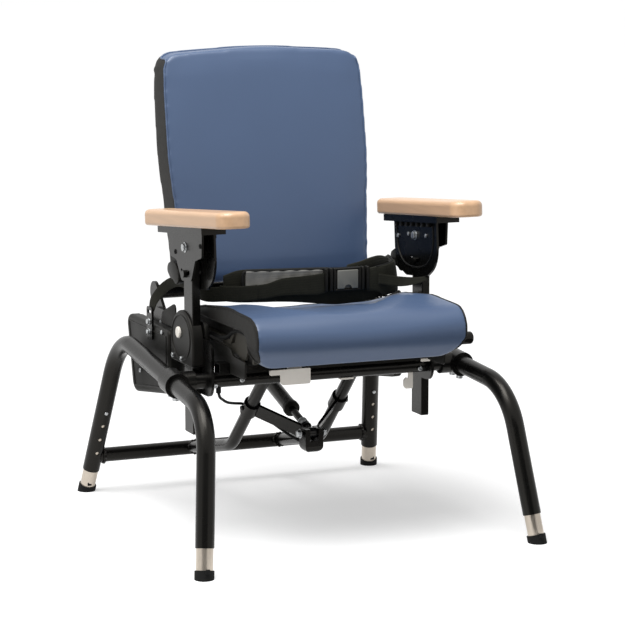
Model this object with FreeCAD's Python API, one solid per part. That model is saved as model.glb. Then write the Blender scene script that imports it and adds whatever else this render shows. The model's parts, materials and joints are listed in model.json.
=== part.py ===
import FreeCAD, Part
import math
import os

from FreeCAD import Vector

# Pediatric positioning chair on a four-legged tubular base.
# Millimetres, +Z up, the sitter faces -Y, left and right are the sitter's.
# The origin lies on the floor, midway between the four feet.

os.makedirs("parts", exist_ok=True)

# Base: two side frames, each one tube bent into a front leg, a top bar and a rear leg
leg_tube_diameter = 31.75
leg_tube_wall = 1.6
leg_bend_radius = 95.0
foot_reach = 340.0
front_foot_half_spacing = 307.0
rear_foot_half_spacing = 292.5
front_corner_half_spacing = 278.0
front_corner_reach = 278.0
front_corner_height = 264.5
rear_corner_half_spacing = 254.5
rear_corner_reach = 241.0
rear_corner_height = 309.0
front_leg_gap = 50.0
rear_leg_gap = 47.0

# Telescoping leg extensions and their rubber feet
slide_fit = 0.05
extension_wall = 1.6
extension_length = 172.0
foot_diameter = 33.0
foot_height = 14.0
foot_floor = 6.0
leg_hole_diameter = 7.0
leg_hole_pitch = 28.6
leg_hole_count = 4
lowest_hole_distance = 87.4
snap_button_diameter = 6.6
snap_button_rise = 2.6

# Cross tubes, struts and the straps that carry the gas spring
rear_crossbar_diameter = 27.0
rear_crossbar_height = 71.0
front_crossbar_diameter = 27.0
front_crossbar_reach = 95.0
crossbar_wall = 2.5
crossbar_end_gap = 5.8
clamp_socket_depth = 14.0
clamp_length = 44.0
clamp_wall = 6.0
clamp_boss_diameter = 38.0
clamp_bolt_diameter = 12.0
clamp_bolt_head = 5.0
clamp_bolt_spacing = 26.0
strut_diameter = 22.2
strut_wall = 2.0
strut_half_spacing = 84.0
strut_splay = 3.0
strut_sink = 2.0
strut_top_bend_y = -62.0
strut_low_bend_y = 106.0
strut_low_bend_z = 118.0
strut_top_bend_radius = 42.0
strut_low_bend_radius = 70.0
strap_width = 31.0
strap_thickness = 5.0
strap_band_wall = 4.0
strap_band_length = 30.0
strap_height_share = 0.47

# Gas spring between the straps and the seat unit
spring_low_y = -61.0
spring_low_z = 165.0
spring_high_y = 165.0
spring_high_z = 231.7
spring_pin_diameter = 8.0
pin_fit = 0.05
side_gap = 0.3
rod_diameter = 13.0
rod_length = 150.0
rod_eye_diameter = 19.0
rod_eye_width = 15.4
rod_side_play = 2.9
cylinder_diameter = 26.0
cylinder_start = 93.0
cylinder_end = 214.0
cylinder_end_wall = 6.0
cylinder_eye_diameter = 20.0
cylinder_eye_width = 16.4
cylinder_neck_diameter = 15.0
hub_width = 34.0
hub_depth = 30.0
hub_bottom = 131.0
hub_top = 174.0
hub_slot_floor = 152.0
hub_round = 12.0
bracket_ear = 4.0
bracket_half_depth = 15.0

# Tilt release cable from the front crossbar to the spring hub
cable_diameter = 5.0
ferrule_diameter = 9.0
ferrule_length = 10.0
cable_points = [
    (-188, -95, 257),
    (-181, -82, 246),
    (-150, -34, 226),
    (-113, 25, 211),
    (-84, 50, 204),
    (-58, 36, 186),
    (-36, 8, 165),
    (-20, -22, 151),
    (-10.5, -45.6, 146),
]

# Seat unit: two side plates that turn on the front crossbar
plate_inner_reach = 206.0
plate_thickness = 5.0
plate_front_reach = 123.0
plate_rear_reach = 272.0
plate_bottom = 254.0
plate_top = 350.0
rail_depth = 26.0
rail_bottom = 298.0
rail_height = 20.0
rail_wall = 2.0
front_rail_reach = 150.0
rear_rail_reach = 178.0
seat_rail_half_spacing = 130.0
seat_rail_width = 20.0
seat_rail_front = 172.0
seat_rail_rear = 170.0

# Armrest post sockets and rear housings on the side plates
post_width = 42.0
post_thickness = 15.0
post_reach = 50.0
post_bottom = 181.0
post_play = 0.25
post_edge = 3.0
socket_wall = 4.5
socket_front_reach = 83.0
socket_rear_reach = 28.0
socket_bottom = 300.0
socket_top = 394.0
socket_round = 55.0
socket_edge = 4.0
button_diameter = 20.0
button_y = -16.0
button_z = 354.0
button_rise = 4.0
button_depth = 8.5
button_travel = 3.0
button_fit = 0.08
housing_depth = 18.0
housing_top = 346.0
housing_edge = 6.0
housing_front_reach = 46.0
housing_front_bottom = 232.0
housing_rear_reach = 281.0
housing_low_reach = 246.0
housing_low_bottom = 203.0

# Armrest: bracket of two cheeks and a top plate, tilted up at the front, with its pad
arm_pivot_z = 507.0
arm_tilt = 5.0
arm_cheek = 4.0
arm_cheek_gap = 0.75
arm_plate_drop = 24.0
arm_plate_thickness = 12.0
arm_plate_width = 44.0
arm_plate_front = 111.0
arm_plate_rear = 112.0
quadrant_half_length = 88.0
shield_half_length = 86.0
quadrant_drop = 73.0
quadrant_foot = 44.0
quadrant_shoulder = 50.0
quadrant_round = 50.0
shield_step_drop = 19.0
shield_step = 38.0
shield_drop = 58.0
shield_foot = 24.0
arm_bolt_diameter = 8.0
arm_bolt_head_diameter = 14.0
arm_bolt_head = 5.0
lock_radius = 46.0
lock_diameter = 6.0
lock_slot_play = 0.4
lock_slot_angle = 24.0
lock_head_diameter = 13.0
pad_width = 60.0
pad_centre_reach = 221.0
pad_front = 212.0
pad_rear = 156.0
pad_thickness = 28.0
pad_corner = 24.0
pad_top_edge = 9.0
pad_bottom_edge = 5.0
pad_toe_in = 2.0

# Seat: a cushion with a waterfall front on a bent pan that slides on the rails
seat_half_width = 193.0
seat_boxing = 3.0
seat_nose_reach = 338.0
seat_lip_reach = 262.0
seat_rear_reach = 96.0
seat_top = 405.0
seat_crest_rise = 9.0
seat_rear_fall = 14.0
seat_crest_reach = 150.0
seat_side_thickness = 24.0
seat_lip_drop = 81.0
seat_lip_corner = 40.0
seat_boxing_trim = 32.0
seat_lip_thickness = 19.0
seat_nose_radius = 40.0
seat_curl_radius = 34.0
seat_well_half_width = 170.0
seat_well_depth = 25.0
seat_well_front_reach = 130.0
seat_well_step = 20.0
seat_well_round = 8.0
seat_dish_radius = 560.0
seat_dish_front_drop = 5.0
seat_dish_rear_drop = 35.0
pan_thickness = 8.0
pan_half_width = 180.0
pan_lip_inset = 6.0
pan_flange_reach = 178.0
pan_flange = 4.0
runner_wall = 3.0
runner_play = 0.3
runner_lap = 18.0
runner_cap = 8.7
runner_front = 200.0
runner_rear = 85.0
lever_centre_x = -84.0
lever_width = 55.0
lever_height = 27.0
lever_thickness = 3.0
lever_drop = 92.0
lever_front_reach = 192.0
lever_tab_length = 20.0
lever_tab_height = 9.0
lever_pin_reach = 165.0
lever_pin_drop = 55.0
lever_pin_diameter = 6.0
lever_hub_diameter = 13.0
lever_hub_width = 24.0
lever_ear = 4.0
lever_ear_depth = 20.0

# Tilt release lever on the left side plate
tilt_lever_pivot_reach = 108.0
tilt_lever_pivot_z = 330.0
tilt_lever_tip_reach = 222.0
tilt_lever_tip_z = 346.0
tilt_lever_thickness = 4.0
tilt_lever_width = 18.0
tilt_lever_pin_diameter = 8.0
tilt_lever_grip_length = 20.0
tilt_lever_grip_diameter = 22.0

# Backrest on hinge plates, a cross tube and a spine
back_pivot_y = 140.0
back_pivot_z = 345.0
back_pin_diameter = 12.0
back_pin_head_diameter = 20.0
back_pin_head = 4.2
hinge_plate_thickness = 5.5
hinge_plate_half_width = 20.0
back_tube_diameter = 25.4
back_tube_wall = 2.0
back_tube_y = 190.0
back_tube_z = 395.0
back_half_width = 191.0
back_top_half_width = 189.0
back_low_half_width = 181.0
back_bottom = 420.0
back_top = 838.0
back_crown_rise = 12.0
back_front_y = 95.0
back_rear_y = 171.0
back_front_lean = 0.179
back_rear_lean = 0.101
back_corner = 30.0
back_low_corner = 20.0
back_edge = 12.0
back_crown_radius = 600.0
back_side_radius = 1500.0
board_thickness = 10.0
board_inset = 14.0
spine_half_width = 35.0
spine_depth = 18.0
spine_wall = 4.0
spine_bottom = 392.0
spine_top = 760.0

# Hip belt with a centre buckle
belt_anchor_y = 138.0
belt_anchor_width = 28.0
belt_anchor_bottom = 318.0
belt_anchor_top = 377.0
belt_anchor_thickness = 4.0
belt_anchor_slot_width = 20.0
belt_anchor_slot_height = 6.0
belt_width = 36.0
belt_thickness = 2.6
belt_pad_thickness = 9.0
belt_rise = 30.0
belt_y = -45.0
belt_turn_reach = 155.0
belt_turn_forward = 5.0
belt_hip_inset = 23.0
belt_hip_back = 17.0
belt_side_inset = 10.0
belt_side_back = 65.0
belt_side_lift = 2.0
belt_plate_overlap = 1.0
belt_rear_forward = 68.0
belt_drop_forward = 34.0
belt_drop_outward = 3.0
belt_drop = 18.0
belt_end_z = 372.0
belt_end_narrowing = 6.0
buckle_start_x = 31.0
buckle_end_x = 117.0
buckle_depth = 18.0
buckle_height = 42.0
buckle_round = 5.0
buckle_button_width = 40.0
buckle_button_height = 34.0
buckle_button_depth = 8.0
buckle_button_rise = 1.0
buckle_button_travel = 3.0


# Shape helpers
def save(node, *solids):
    shape = solids[0] if len(solids) == 1 else Part.makeCompound(list(solids))
    if not shape.isValid() or shape.Volume <= 0:
        raise ValueError(node + " is not a valid solid")
    shape.exportStep("parts/" + node + ".step")


def mirrored(shape):
    return shape.mirror(Vector(0, 0, 0), Vector(1, 0, 0))


def save_pair(name, shape):
    save("left_" + name, shape)
    save("right_" + name, mirrored(shape))


def save_group(name, shape):
    save(name, shape, mirrored(shape))


def box(x0, x1, y0, y1, z0, z1):
    return Part.makeBox(x1 - x0, y1 - y0, z1 - z0, Vector(x0, y0, z0))


def rod_between(start, end, diameter):
    heading = end - start
    return Part.makeCylinder(diameter / 2, heading.Length, start, heading)


def rod_along_x(y, z, x0, x1, diameter):
    return Part.makeCylinder(diameter / 2, x1 - x0, Vector(x0, y, z), Vector(1, 0, 0))


def rounded_path(points, radii, closed=False):
    """Wire through the points, with each corner rounded by its radius."""
    count = len(points)
    corners = range(count) if closed else range(1, count - 1)
    ends = {}
    edges = []
    for index in corners:
        corner = points[index]
        into = (corner - points[index - 1]).normalize()
        out = (points[(index + 1) % count] - corner).normalize()
        turn = into.getAngle(out)
        radius = radii[index]
        setback = radius * math.tan(turn / 2)
        first = corner - into * setback
        last = corner + out * setback
        ends[index] = (first, last)
        if setback > 1e-6:
            inward = (out - into).normalize()
            middle = corner + inward * (radius / math.cos(turn / 2) - radius)
            edges.append((index, Part.Arc(first, middle, last).toShape()))
    spans = range(count) if closed else range(count - 1)
    for index in spans:
        following = (index + 1) % count
        start = ends[index][1] if index in ends else points[index]
        end = ends[following][0] if following in ends else points[following]
        if (end - start).Length > 1e-6:
            edges.append((index + 0.5, Part.LineSegment(start, end).toShape()))
    return Part.Wire([edge for place, edge in sorted(edges, key=lambda item: item[0])])


def swept_rod(path, diameter):
    first = path.Edges[0]
    start = first.valueAt(first.FirstParameter)
    heading = first.tangentAt(first.FirstParameter)
    section = Part.Wire(Part.makeCircle(diameter / 2, start, heading))
    return path.makePipeShell([section], True, True)


def swept_tube(path, diameter, wall):
    return swept_rod(path, diameter).cut(swept_rod(path, diameter - 2 * wall))


def plate(corners, x0, x1):
    """Flat plate between two X values; each corner is (y, z, radius)."""
    points = [Vector(x0, y, z) for y, z, radius in corners]
    wire = rounded_path(points, [radius for y, z, radius in corners], closed=True)
    return Part.Face(wire).extrude(Vector(x1 - x0, 0, 0))


def front_panel(corners, y0, y1):
    """Panel between two Y values; each corner is (x, z, radius)."""
    points = [Vector(x, y0, z) for x, z, radius in corners]
    wire = rounded_path(points, [radius for x, z, radius in corners], closed=True)
    return Part.Face(wire).extrude(Vector(0, y1 - y0, 0))


def edges_at_x(shape, x):
    return [edge for edge in shape.Edges if all(abs(vertex.X - x) < 1e-6 for vertex in edge.Vertexes)]


def edges_at_z(shape, z):
    return [edge for edge in shape.Edges if all(abs(vertex.Z - z) < 1e-6 for vertex in edge.Vertexes)]


def box_tube(x0, x1, y0, y1, z0, z1, wall, axis):
    outer = box(x0, x1, y0, y1, z0, z1)
    if axis == "x":
        return outer.cut(box(x0, x1, y0 + wall, y1 - wall, z0 + wall, z1 - wall))
    return outer.cut(box(x0 + wall, x1 - wall, y0, y1, z0 + wall, z1 - wall))


# Base frame
front_foot = Vector(front_foot_half_spacing, -foot_reach, 0)
rear_foot = Vector(rear_foot_half_spacing, foot_reach, 0)
front_corner = Vector(front_corner_half_spacing, -front_corner_reach, front_corner_height)
rear_corner = Vector(rear_corner_half_spacing, rear_corner_reach, rear_corner_height)
front_leg_up = (front_corner - front_foot).normalize()
rear_leg_up = (rear_corner - rear_foot).normalize()
legs = {
    "front": (front_foot, front_leg_up, front_leg_gap, Vector(0, 1, 0)),
    "rear": (rear_foot, rear_leg_up, rear_leg_gap, Vector(0, -1, 0)),
}
leg_bore = leg_tube_diameter - 2 * leg_tube_wall
extension_diameter = leg_bore - 2 * slide_fit


def on_side_bar(y):
    """Point on the top bar's axis at this Y."""
    share = (y - front_corner.y) / (rear_corner.y - front_corner.y)
    return front_corner + (rear_corner - front_corner) * share


def on_rear_leg(z):
    return rear_foot + (rear_corner - rear_foot) * (z / rear_corner.z)


crossbar_centre = on_side_bar(-front_crossbar_reach)
tilt_y = crossbar_centre.y
tilt_z = crossbar_centre.z
rear_bar_end = on_rear_leg(rear_crossbar_height)
crossbar_half_length = crossbar_centre.x - leg_tube_diameter / 2 - crossbar_end_gap
clamp_inner_reach = crossbar_half_length - clamp_socket_depth


def hole_direction(leg):
    """Radial direction of the leg's row of holes."""
    foot, up, gap, facing = legs[leg]
    return (facing - up * facing.dot(up)).normalize()


def hole_distances():
    return [lowest_hole_distance + leg_hole_pitch * step for step in range(leg_hole_count)]


def make_side_frame():
    front_end = front_foot + front_leg_up * front_leg_gap
    rear_end = rear_foot + rear_leg_up * rear_leg_gap
    bend = leg_bend_radius
    path = rounded_path([front_end, front_corner, rear_corner, rear_end], [0, bend, bend, 0])
    frame = swept_tube(path, leg_tube_diameter, leg_tube_wall)
    for leg, (foot, up, gap, facing) in legs.items():
        outward = hole_direction(leg)
        for distance in hole_distances():
            centre = foot + up * distance
            frame = frame.cut(rod_between(centre, centre + outward * leg_tube_diameter, leg_hole_diameter))
    save_pair("side_frame", frame)


def make_leg_extensions():
    for leg, (foot, up, gap, facing) in legs.items():
        bottom = foot + up * foot_floor
        top = bottom + up * extension_length
        tube = rod_between(bottom, top, extension_diameter)
        tube = tube.cut(rod_between(bottom, top, extension_diameter - 2 * extension_wall))
        tip = rod_between(foot - up * foot_height, foot + up * foot_height, foot_diameter)
        tip = tip.cut(rod_between(bottom, top, extension_diameter))
        under_floor = box(-foot_diameter, foot_diameter, -foot_diameter, foot_diameter, -3 * foot_height, 0)
        under_floor.translate(foot)
        tip = tip.cut(under_floor)
        for side, shape in (("left", tube), ("right", mirrored(tube))):
            save(side + "_" + leg + "_leg_extension", shape)
        for side, shape in (("left", tip), ("right", mirrored(tip))):
            save(side + "_" + leg + "_foot", shape)


def make_snap_buttons():
    buttons = []
    for leg, (foot, up, gap, facing) in legs.items():
        outward = hole_direction(leg)
        centre = foot + up * hole_distances()[-1]
        inner = centre + outward * (extension_diameter / 2 + side_gap)
        outer = centre + outward * (leg_tube_diameter / 2 + snap_button_rise)
        button = rod_between(inner, outer, snap_button_diameter)
        rim = [edge for edge in button.Edges if abs(edge.CenterOfMass.distanceToPoint(outer)) < 1e-3]
        button = button.makeFillet(snap_button_rise / 2, rim)
        buttons += [button, mirrored(button)]
    save("leg_snap_buttons", *buttons)


def make_crossbars():
    rear = rod_along_x(rear_bar_end.y, rear_bar_end.z, -rear_bar_end.x, rear_bar_end.x, rear_crossbar_diameter)
    hollow = rear_crossbar_diameter - 2 * crossbar_wall
    rear = rear.cut(rod_along_x(rear_bar_end.y, rear_bar_end.z, -rear_bar_end.x, rear_bar_end.x, hollow))
    leg = rod_between(rear_foot, rear_corner, leg_tube_diameter)
    rear = rear.cut(leg).cut(mirrored(leg))
    save("rear_crossbar", max(rear.Solids, key=lambda solid: solid.Volume))
    front = rod_along_x(tilt_y, tilt_z, -crossbar_half_length, crossbar_half_length, front_crossbar_diameter)
    hollow = front_crossbar_diameter - 2 * crossbar_wall
    front = front.cut(rod_along_x(tilt_y, tilt_z, -crossbar_half_length, crossbar_half_length, hollow))
    save("front_crossbar", front)


def make_clamps():
    along = (rear_corner - front_corner).normalize()
    start = crossbar_centre - along * (clamp_length / 2)
    end = crossbar_centre + along * (clamp_length / 2)
    clamp = rod_between(start, end, leg_tube_diameter + 2 * clamp_wall)
    boss = rod_along_x(tilt_y, tilt_z, clamp_inner_reach, crossbar_centre.x, clamp_boss_diameter)
    clamp = clamp.fuse(boss).removeSplitter()
    clamp = clamp.cut(rod_between(front_corner, rear_corner, leg_tube_diameter))
    clamp = clamp.cut(rod_along_x(tilt_y, tilt_z, clamp_inner_reach, crossbar_half_length, front_crossbar_diameter))
    save_pair("frame_clamp", max(clamp.Solids, key=lambda solid: solid.Volume))
    down = along.cross(Vector(1, 0, 0)).normalize()
    bolts = []
    for shift in (-clamp_bolt_spacing / 2, clamp_bolt_spacing / 2):
        centre = crossbar_centre + along * shift
        top = centre + down * (leg_tube_diameter / 2 + clamp_wall + side_gap)
        bolt = rod_between(top, top + down * clamp_bolt_head, clamp_bolt_diameter)
        bolts += [bolt, mirrored(bolt)]
    save("clamp_bolts", *bolts)


def strut_corners():
    top_z = tilt_z - strut_sink
    splayed = strut_half_spacing + strut_splay
    return [
        Vector(strut_half_spacing, tilt_y, top_z),
        Vector(strut_half_spacing, strut_top_bend_y, top_z),
        Vector(splayed, strut_low_bend_y, strut_low_bend_z),
        Vector(splayed + strut_splay, rear_bar_end.y, rear_bar_end.z),
    ]


def make_struts():
    path = rounded_path(strut_corners(), [0, strut_top_bend_radius, strut_low_bend_radius, 0])
    strut = swept_tube(path, strut_diameter, strut_wall)
    reach = crossbar_half_length
    strut = strut.cut(rod_along_x(tilt_y, tilt_z, -reach, reach, front_crossbar_diameter))
    strut = strut.cut(rod_along_x(rear_bar_end.y, rear_bar_end.z, -reach, reach, rear_crossbar_diameter))
    save_pair("strut", max(strut.Solids, key=lambda solid: solid.Volume))


def make_hub_and_straps():
    half_width = hub_width / 2
    front = spring_low_y - hub_depth / 2
    rear = spring_low_y + hub_depth / 2
    hub = box(-half_width, half_width, front, rear, hub_bottom, hub_top)
    hub = hub.makeFillet(hub_round, edges_at_z(hub, hub_bottom))
    slot = rod_eye_width / 2 + side_gap
    hub = hub.cut(box(-slot, slot, front, rear, hub_slot_floor, hub_top))
    pin_end = half_width + spring_pin_diameter / 2
    pin = rod_along_x(spring_low_y, spring_low_z, -pin_end, pin_end, spring_pin_diameter)
    hub = hub.fuse(pin).removeSplitter()
    save("spring_hub", hub)

    top, bottom = strut_corners()[1:3]
    along = (bottom - top).normalize()
    ring = top + (bottom - top) * strap_height_share
    band_half = along * (strap_band_length / 2)
    band = rod_between(ring - band_half, ring + band_half, strut_diameter + 2 * strap_band_wall)
    start = Vector(0, spring_low_y, spring_low_z - strap_thickness)
    heading = ring - start
    length = heading.Length
    heading.normalize()
    flat = heading.cross(along).cross(heading).normalize()
    normal = heading.cross(flat)
    bar = Part.makeBox(length, strap_width, strap_thickness, Vector(0, -strap_width / 2, -strap_thickness / 2))
    turn = FreeCAD.Matrix(
        heading.x, flat.x, normal.x, start.x,
        heading.y, flat.y, normal.y, start.y,
        heading.z, flat.z, normal.z, start.z,
        0, 0, 0, 1,
    )
    bar = bar.transformGeometry(turn)
    strap = bar.fuse(band).removeSplitter()
    strap = strap.cut(rod_between(top, bottom, strut_diameter))
    strap = strap.cut(box(-half_width, half_width, front, rear, hub_bottom, hub_top + strap_width))
    strap = strap.cut(box(-hub_width, half_width, front - hub_depth, rear, hub_bottom, hub_top + strap_width))
    strap = strap.cut(rod_along_x(spring_low_y, spring_low_z, 0, pin_end, spring_pin_diameter))
    save_group("spring_straps", max(strap.Solids, key=lambda solid: solid.Volume))


def make_cable():
    points = [Vector(*point) for point in cable_points]
    radii = [0]
    for before, corner, after in zip(points, points[1:], points[2:]):
        turn = (corner - before).getAngle(after - corner)
        shorter = min((corner - before).Length, (after - corner).Length)
        radii.append(0.45 * shorter / math.tan(turn / 2))
    radii.append(0)
    path = rounded_path(points, radii)
    cable = swept_rod(path, cable_diameter)
    section = math.pi * cable_diameter ** 2 / 4
    print("tilt cable length %.0f mm, volume share %.4f" % (path.Length, cable.Volume / (section * path.Length)))
    print("tilt cable radii", [round(radius) for radius in radii[1:-1]])
    top = Vector(points[0].x, tilt_y, tilt_z)
    ferrule = rod_between(points[0], top, ferrule_diameter)
    ferrule = ferrule.cut(rod_along_x(tilt_y, tilt_z, -crossbar_half_length, 0, front_crossbar_diameter))
    save("tilt_cable", cable.fuse(ferrule).removeSplitter())


# Gas spring
spring_low = Vector(0, spring_low_y, spring_low_z)
spring_high = Vector(0, spring_high_y, spring_high_z)
spring_length = (spring_high - spring_low).Length
spring_along = (spring_high - spring_low).normalize()


def eye(centre, diameter, width):
    return rod_along_x(centre.y, centre.z, -width / 2, width / 2, diameter)


def eye_bore(centre, width):
    return rod_along_x(centre.y, centre.z, -width, width, spring_pin_diameter + 2 * pin_fit)


def make_gas_spring():
    rod = rod_between(spring_low, spring_low + spring_along * rod_length, rod_diameter)
    rod = rod.fuse(eye(spring_low, rod_eye_diameter, rod_eye_width)).removeSplitter()
    save("gas_spring_rod", rod.cut(eye_bore(spring_low, rod_eye_width)))

    start = spring_low + spring_along * cylinder_start
    end = spring_low + spring_along * cylinder_end
    body = rod_between(start, end, cylinder_diameter)
    body = body.fuse(rod_between(end, spring_high, cylinder_neck_diameter))
    body = body.fuse(eye(spring_high, cylinder_eye_diameter, cylinder_eye_width)).removeSplitter()
    bore_end = end - spring_along * cylinder_end_wall
    body = body.cut(rod_between(start, bore_end, rod_diameter + 2 * rod_side_play))
    save("gas_spring_cylinder", body.cut(eye_bore(spring_high, cylinder_eye_width)))


# Seat heights, all from the seat top
seat_crest = seat_top + seat_crest_rise
seat_under = seat_top - seat_side_thickness
seat_lip = seat_top - seat_lip_drop
seat_well_under = seat_under - seat_well_depth
seat_dish_front = seat_top - seat_dish_front_drop
seat_dish_rear = seat_top - seat_dish_rear_drop
pan_bottom = seat_under - pan_thickness
pan_well_bottom = seat_well_under - pan_thickness
pan_lip = seat_lip + pan_lip_inset

lever_pin_z = pan_bottom - lever_pin_drop
lever_bottom = pan_bottom - lever_drop

# Seat unit
plate_outer_reach = plate_inner_reach + plate_thickness
post_inner = plate_outer_reach + post_play
post_outer = post_inner + post_thickness
socket_outer = post_outer + post_play + socket_wall
housing_outer = plate_outer_reach + housing_depth
post_front = -post_reach - post_width / 2
post_rear = -post_reach + post_width / 2
rail_top = rail_bottom + rail_height
seat_rail_top = pan_well_bottom - runner_cap - runner_play
runner_bottom = seat_rail_top - runner_lap
front_rail_front = -front_rail_reach
rear_rail_front = rear_rail_reach - rail_depth


def make_side_plates():
    pivot_rise = plate_top + 22
    corners = [
        (-plate_front_reach, plate_bottom, 22),
        (-plate_front_reach, plate_top, 25),
        (back_pivot_y - 45, plate_top, 15),
        (back_pivot_y - 28, pivot_rise, 12),
        (back_pivot_y + 28, pivot_rise, 14),
        (back_pivot_y + 50, plate_top - 5, 12),
        (plate_rear_reach, plate_top - 5, 15),
        (plate_rear_reach - 20, plate_bottom - 29, 15),
        (housing_front_reach + 14, plate_bottom - 4, 20),
    ]
    side = plate(corners, plate_inner_reach, plate_outer_reach)
    reach = plate_outer_reach
    side = side.cut(rod_along_x(tilt_y, tilt_z, 0, reach, front_crossbar_diameter + 2 * pin_fit))
    side = side.cut(rod_along_x(back_pivot_y, back_pivot_z, 0, reach, back_pin_diameter))
    right = mirrored(side)
    lever_pin = rod_along_x(-tilt_lever_pivot_reach, tilt_lever_pivot_z, 0, reach, tilt_lever_pin_diameter)
    save("left_side_plate", side.cut(lever_pin))
    save("right_side_plate", right)


def make_seat_frame():
    reach = plate_inner_reach
    for name, front in (("seat_front_rail", front_rail_front), ("seat_rear_rail", rear_rail_front)):
        save(name, box_tube(-reach, reach, front, front + rail_depth, rail_bottom, rail_top, rail_wall, "x"))
    inner = seat_rail_half_spacing - seat_rail_width / 2
    rail = box_tube(inner, inner + seat_rail_width, -seat_rail_front, seat_rail_rear,
                    rail_top, seat_rail_top, rail_wall, "y")
    save_group("seat_rails", rail)


def make_spring_bracket():
    inner = cylinder_eye_width / 2 + side_gap
    outer = inner + bracket_ear
    front = spring_high_y - bracket_half_depth
    rear = spring_high_y + bracket_half_depth
    low = spring_high_z - bracket_half_depth + bracket_ear
    corners = [(front, rail_bottom, 0), (rear, rail_bottom, 0), (rear - 3, low, 11), (front + 3, low, 11)]
    ear = plate(corners, inner, outer)
    top = box(-outer, outer, front, rear, rail_bottom - bracket_ear, rail_bottom)
    pin_end = outer + bracket_ear
    pin = rod_along_x(spring_high_y, spring_high_z, -pin_end, pin_end, spring_pin_diameter)
    save("spring_bracket", top.fuse([ear, mirrored(ear), pin]).removeSplitter())


def make_post_sockets():
    corners = [
        (-socket_front_reach, socket_bottom, 6),
        (-socket_front_reach, socket_top, socket_round),
        (socket_rear_reach, socket_top, socket_round),
        (socket_rear_reach, socket_bottom, 6),
    ]
    socket = plate(corners, plate_outer_reach, socket_outer)
    socket = socket.makeFillet(socket_edge, edges_at_x(socket, socket_outer))
    socket = socket.cut(box(plate_outer_reach, post_outer + post_play, post_front - post_play,
                            post_rear + post_play, socket_bottom, socket_top))
    pocket_floor = socket_outer + button_rise - button_depth - 2 * button_travel
    socket = socket.cut(rod_along_x(button_y, button_z, pocket_floor, socket_outer, button_diameter))
    save_pair("post_socket", socket)
    button = rod_along_x(button_y, button_z, socket_outer + button_rise - button_depth,
                         socket_outer + button_rise, button_diameter - 2 * button_fit)
    button = button.makeFillet(button_rise / 2, edges_at_x(button, socket_outer + button_rise))
    save_pair("height_button", button)


def make_rear_housings():
    corners = [
        (housing_front_reach, housing_front_bottom, 10),
        (housing_low_reach, housing_low_bottom, 24),
        (housing_rear_reach, housing_top, 18),
        (housing_front_reach, housing_top, 10),
    ]
    housing = plate(corners, plate_outer_reach, housing_outer)
    housing = housing.makeFillet(housing_edge, edges_at_x(housing, housing_outer))
    save_pair("rear_housing", housing)


def make_back_pins():
    head_end = plate_inner_reach - side_gap - hinge_plate_thickness - side_gap
    head = rod_along_x(back_pivot_y, back_pivot_z, head_end - back_pin_head, head_end, back_pin_head_diameter)
    pin = rod_along_x(back_pivot_y, back_pivot_z, head_end, plate_outer_reach, back_pin_diameter)
    pin = pin.fuse(head).removeSplitter()
    save_group("back_pivot_pins", pin)


def make_tilt_lever():
    pivot = Vector(plate_outer_reach, -tilt_lever_pivot_reach, tilt_lever_pivot_z)
    tip = Vector(plate_outer_reach, -tilt_lever_tip_reach, tilt_lever_tip_z)
    inner = plate_outer_reach + side_gap
    outer = inner + tilt_lever_thickness
    arm = capsule(pivot, tip, tilt_lever_width / 2, inner, outer)
    pin = rod_along_x(pivot.y, pivot.z, plate_inner_reach, outer, tilt_lever_pin_diameter - 2 * pin_fit)
    grip = rod_along_x(tip.y, tip.z, outer, outer + tilt_lever_grip_length, tilt_lever_grip_diameter)
    grip = grip.makeFillet(socket_edge, edges_at_x(grip, outer + tilt_lever_grip_length))
    save("tilt_release_lever", arm.fuse([pin, grip]).removeSplitter())


def capsule(first, second, half_width, x0, x1):
    """Flat bar with round ends about two points of the YZ plane."""
    along = Vector(0, second.y - first.y, second.z - first.z).normalize()
    across = Vector(0, -along.z, along.y)
    start = first - along * half_width
    end = second + along * half_width
    ring = [start - across * half_width, end - across * half_width,
            end + across * half_width, start + across * half_width]
    nearly_round = half_width * 0.999
    return plate([(point.y, point.z, nearly_round) for point in ring], x0, x1)


# Armrests
arm_pivot = Vector(0, -post_reach, arm_pivot_z)
cheek_inner_face = post_inner - arm_cheek_gap
cheek_outer_face = post_outer + arm_cheek_gap


def arm_tilted(shape):
    shape.rotate(arm_pivot, Vector(1, 0, 0), -arm_tilt)
    return shape


def arc_slot(radius, half_width, half_angle, x0, x1):
    """Slot along an arc about the arm pivot, centred straight below it."""
    def spot(distance, degrees):
        angle = math.radians(degrees)
        return Vector(x0, arm_pivot.y + distance * math.sin(angle), arm_pivot.z - distance * math.cos(angle))

    tip = math.degrees(half_width / radius)
    edges = [
        Part.Arc(spot(radius + half_width, -half_angle), spot(radius + half_width, 0),
                 spot(radius + half_width, half_angle)),
        Part.Arc(spot(radius + half_width, half_angle), spot(radius, half_angle + tip),
                 spot(radius - half_width, half_angle)),
        Part.Arc(spot(radius - half_width, half_angle), spot(radius - half_width, 0),
                 spot(radius - half_width, -half_angle)),
        Part.Arc(spot(radius - half_width, -half_angle), spot(radius, -half_angle - tip),
                 spot(radius + half_width, -half_angle)),
    ]
    return Part.Face(Part.Wire([edge.toShape() for edge in edges])).extrude(Vector(x1 - x0, 0, 0))


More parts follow.
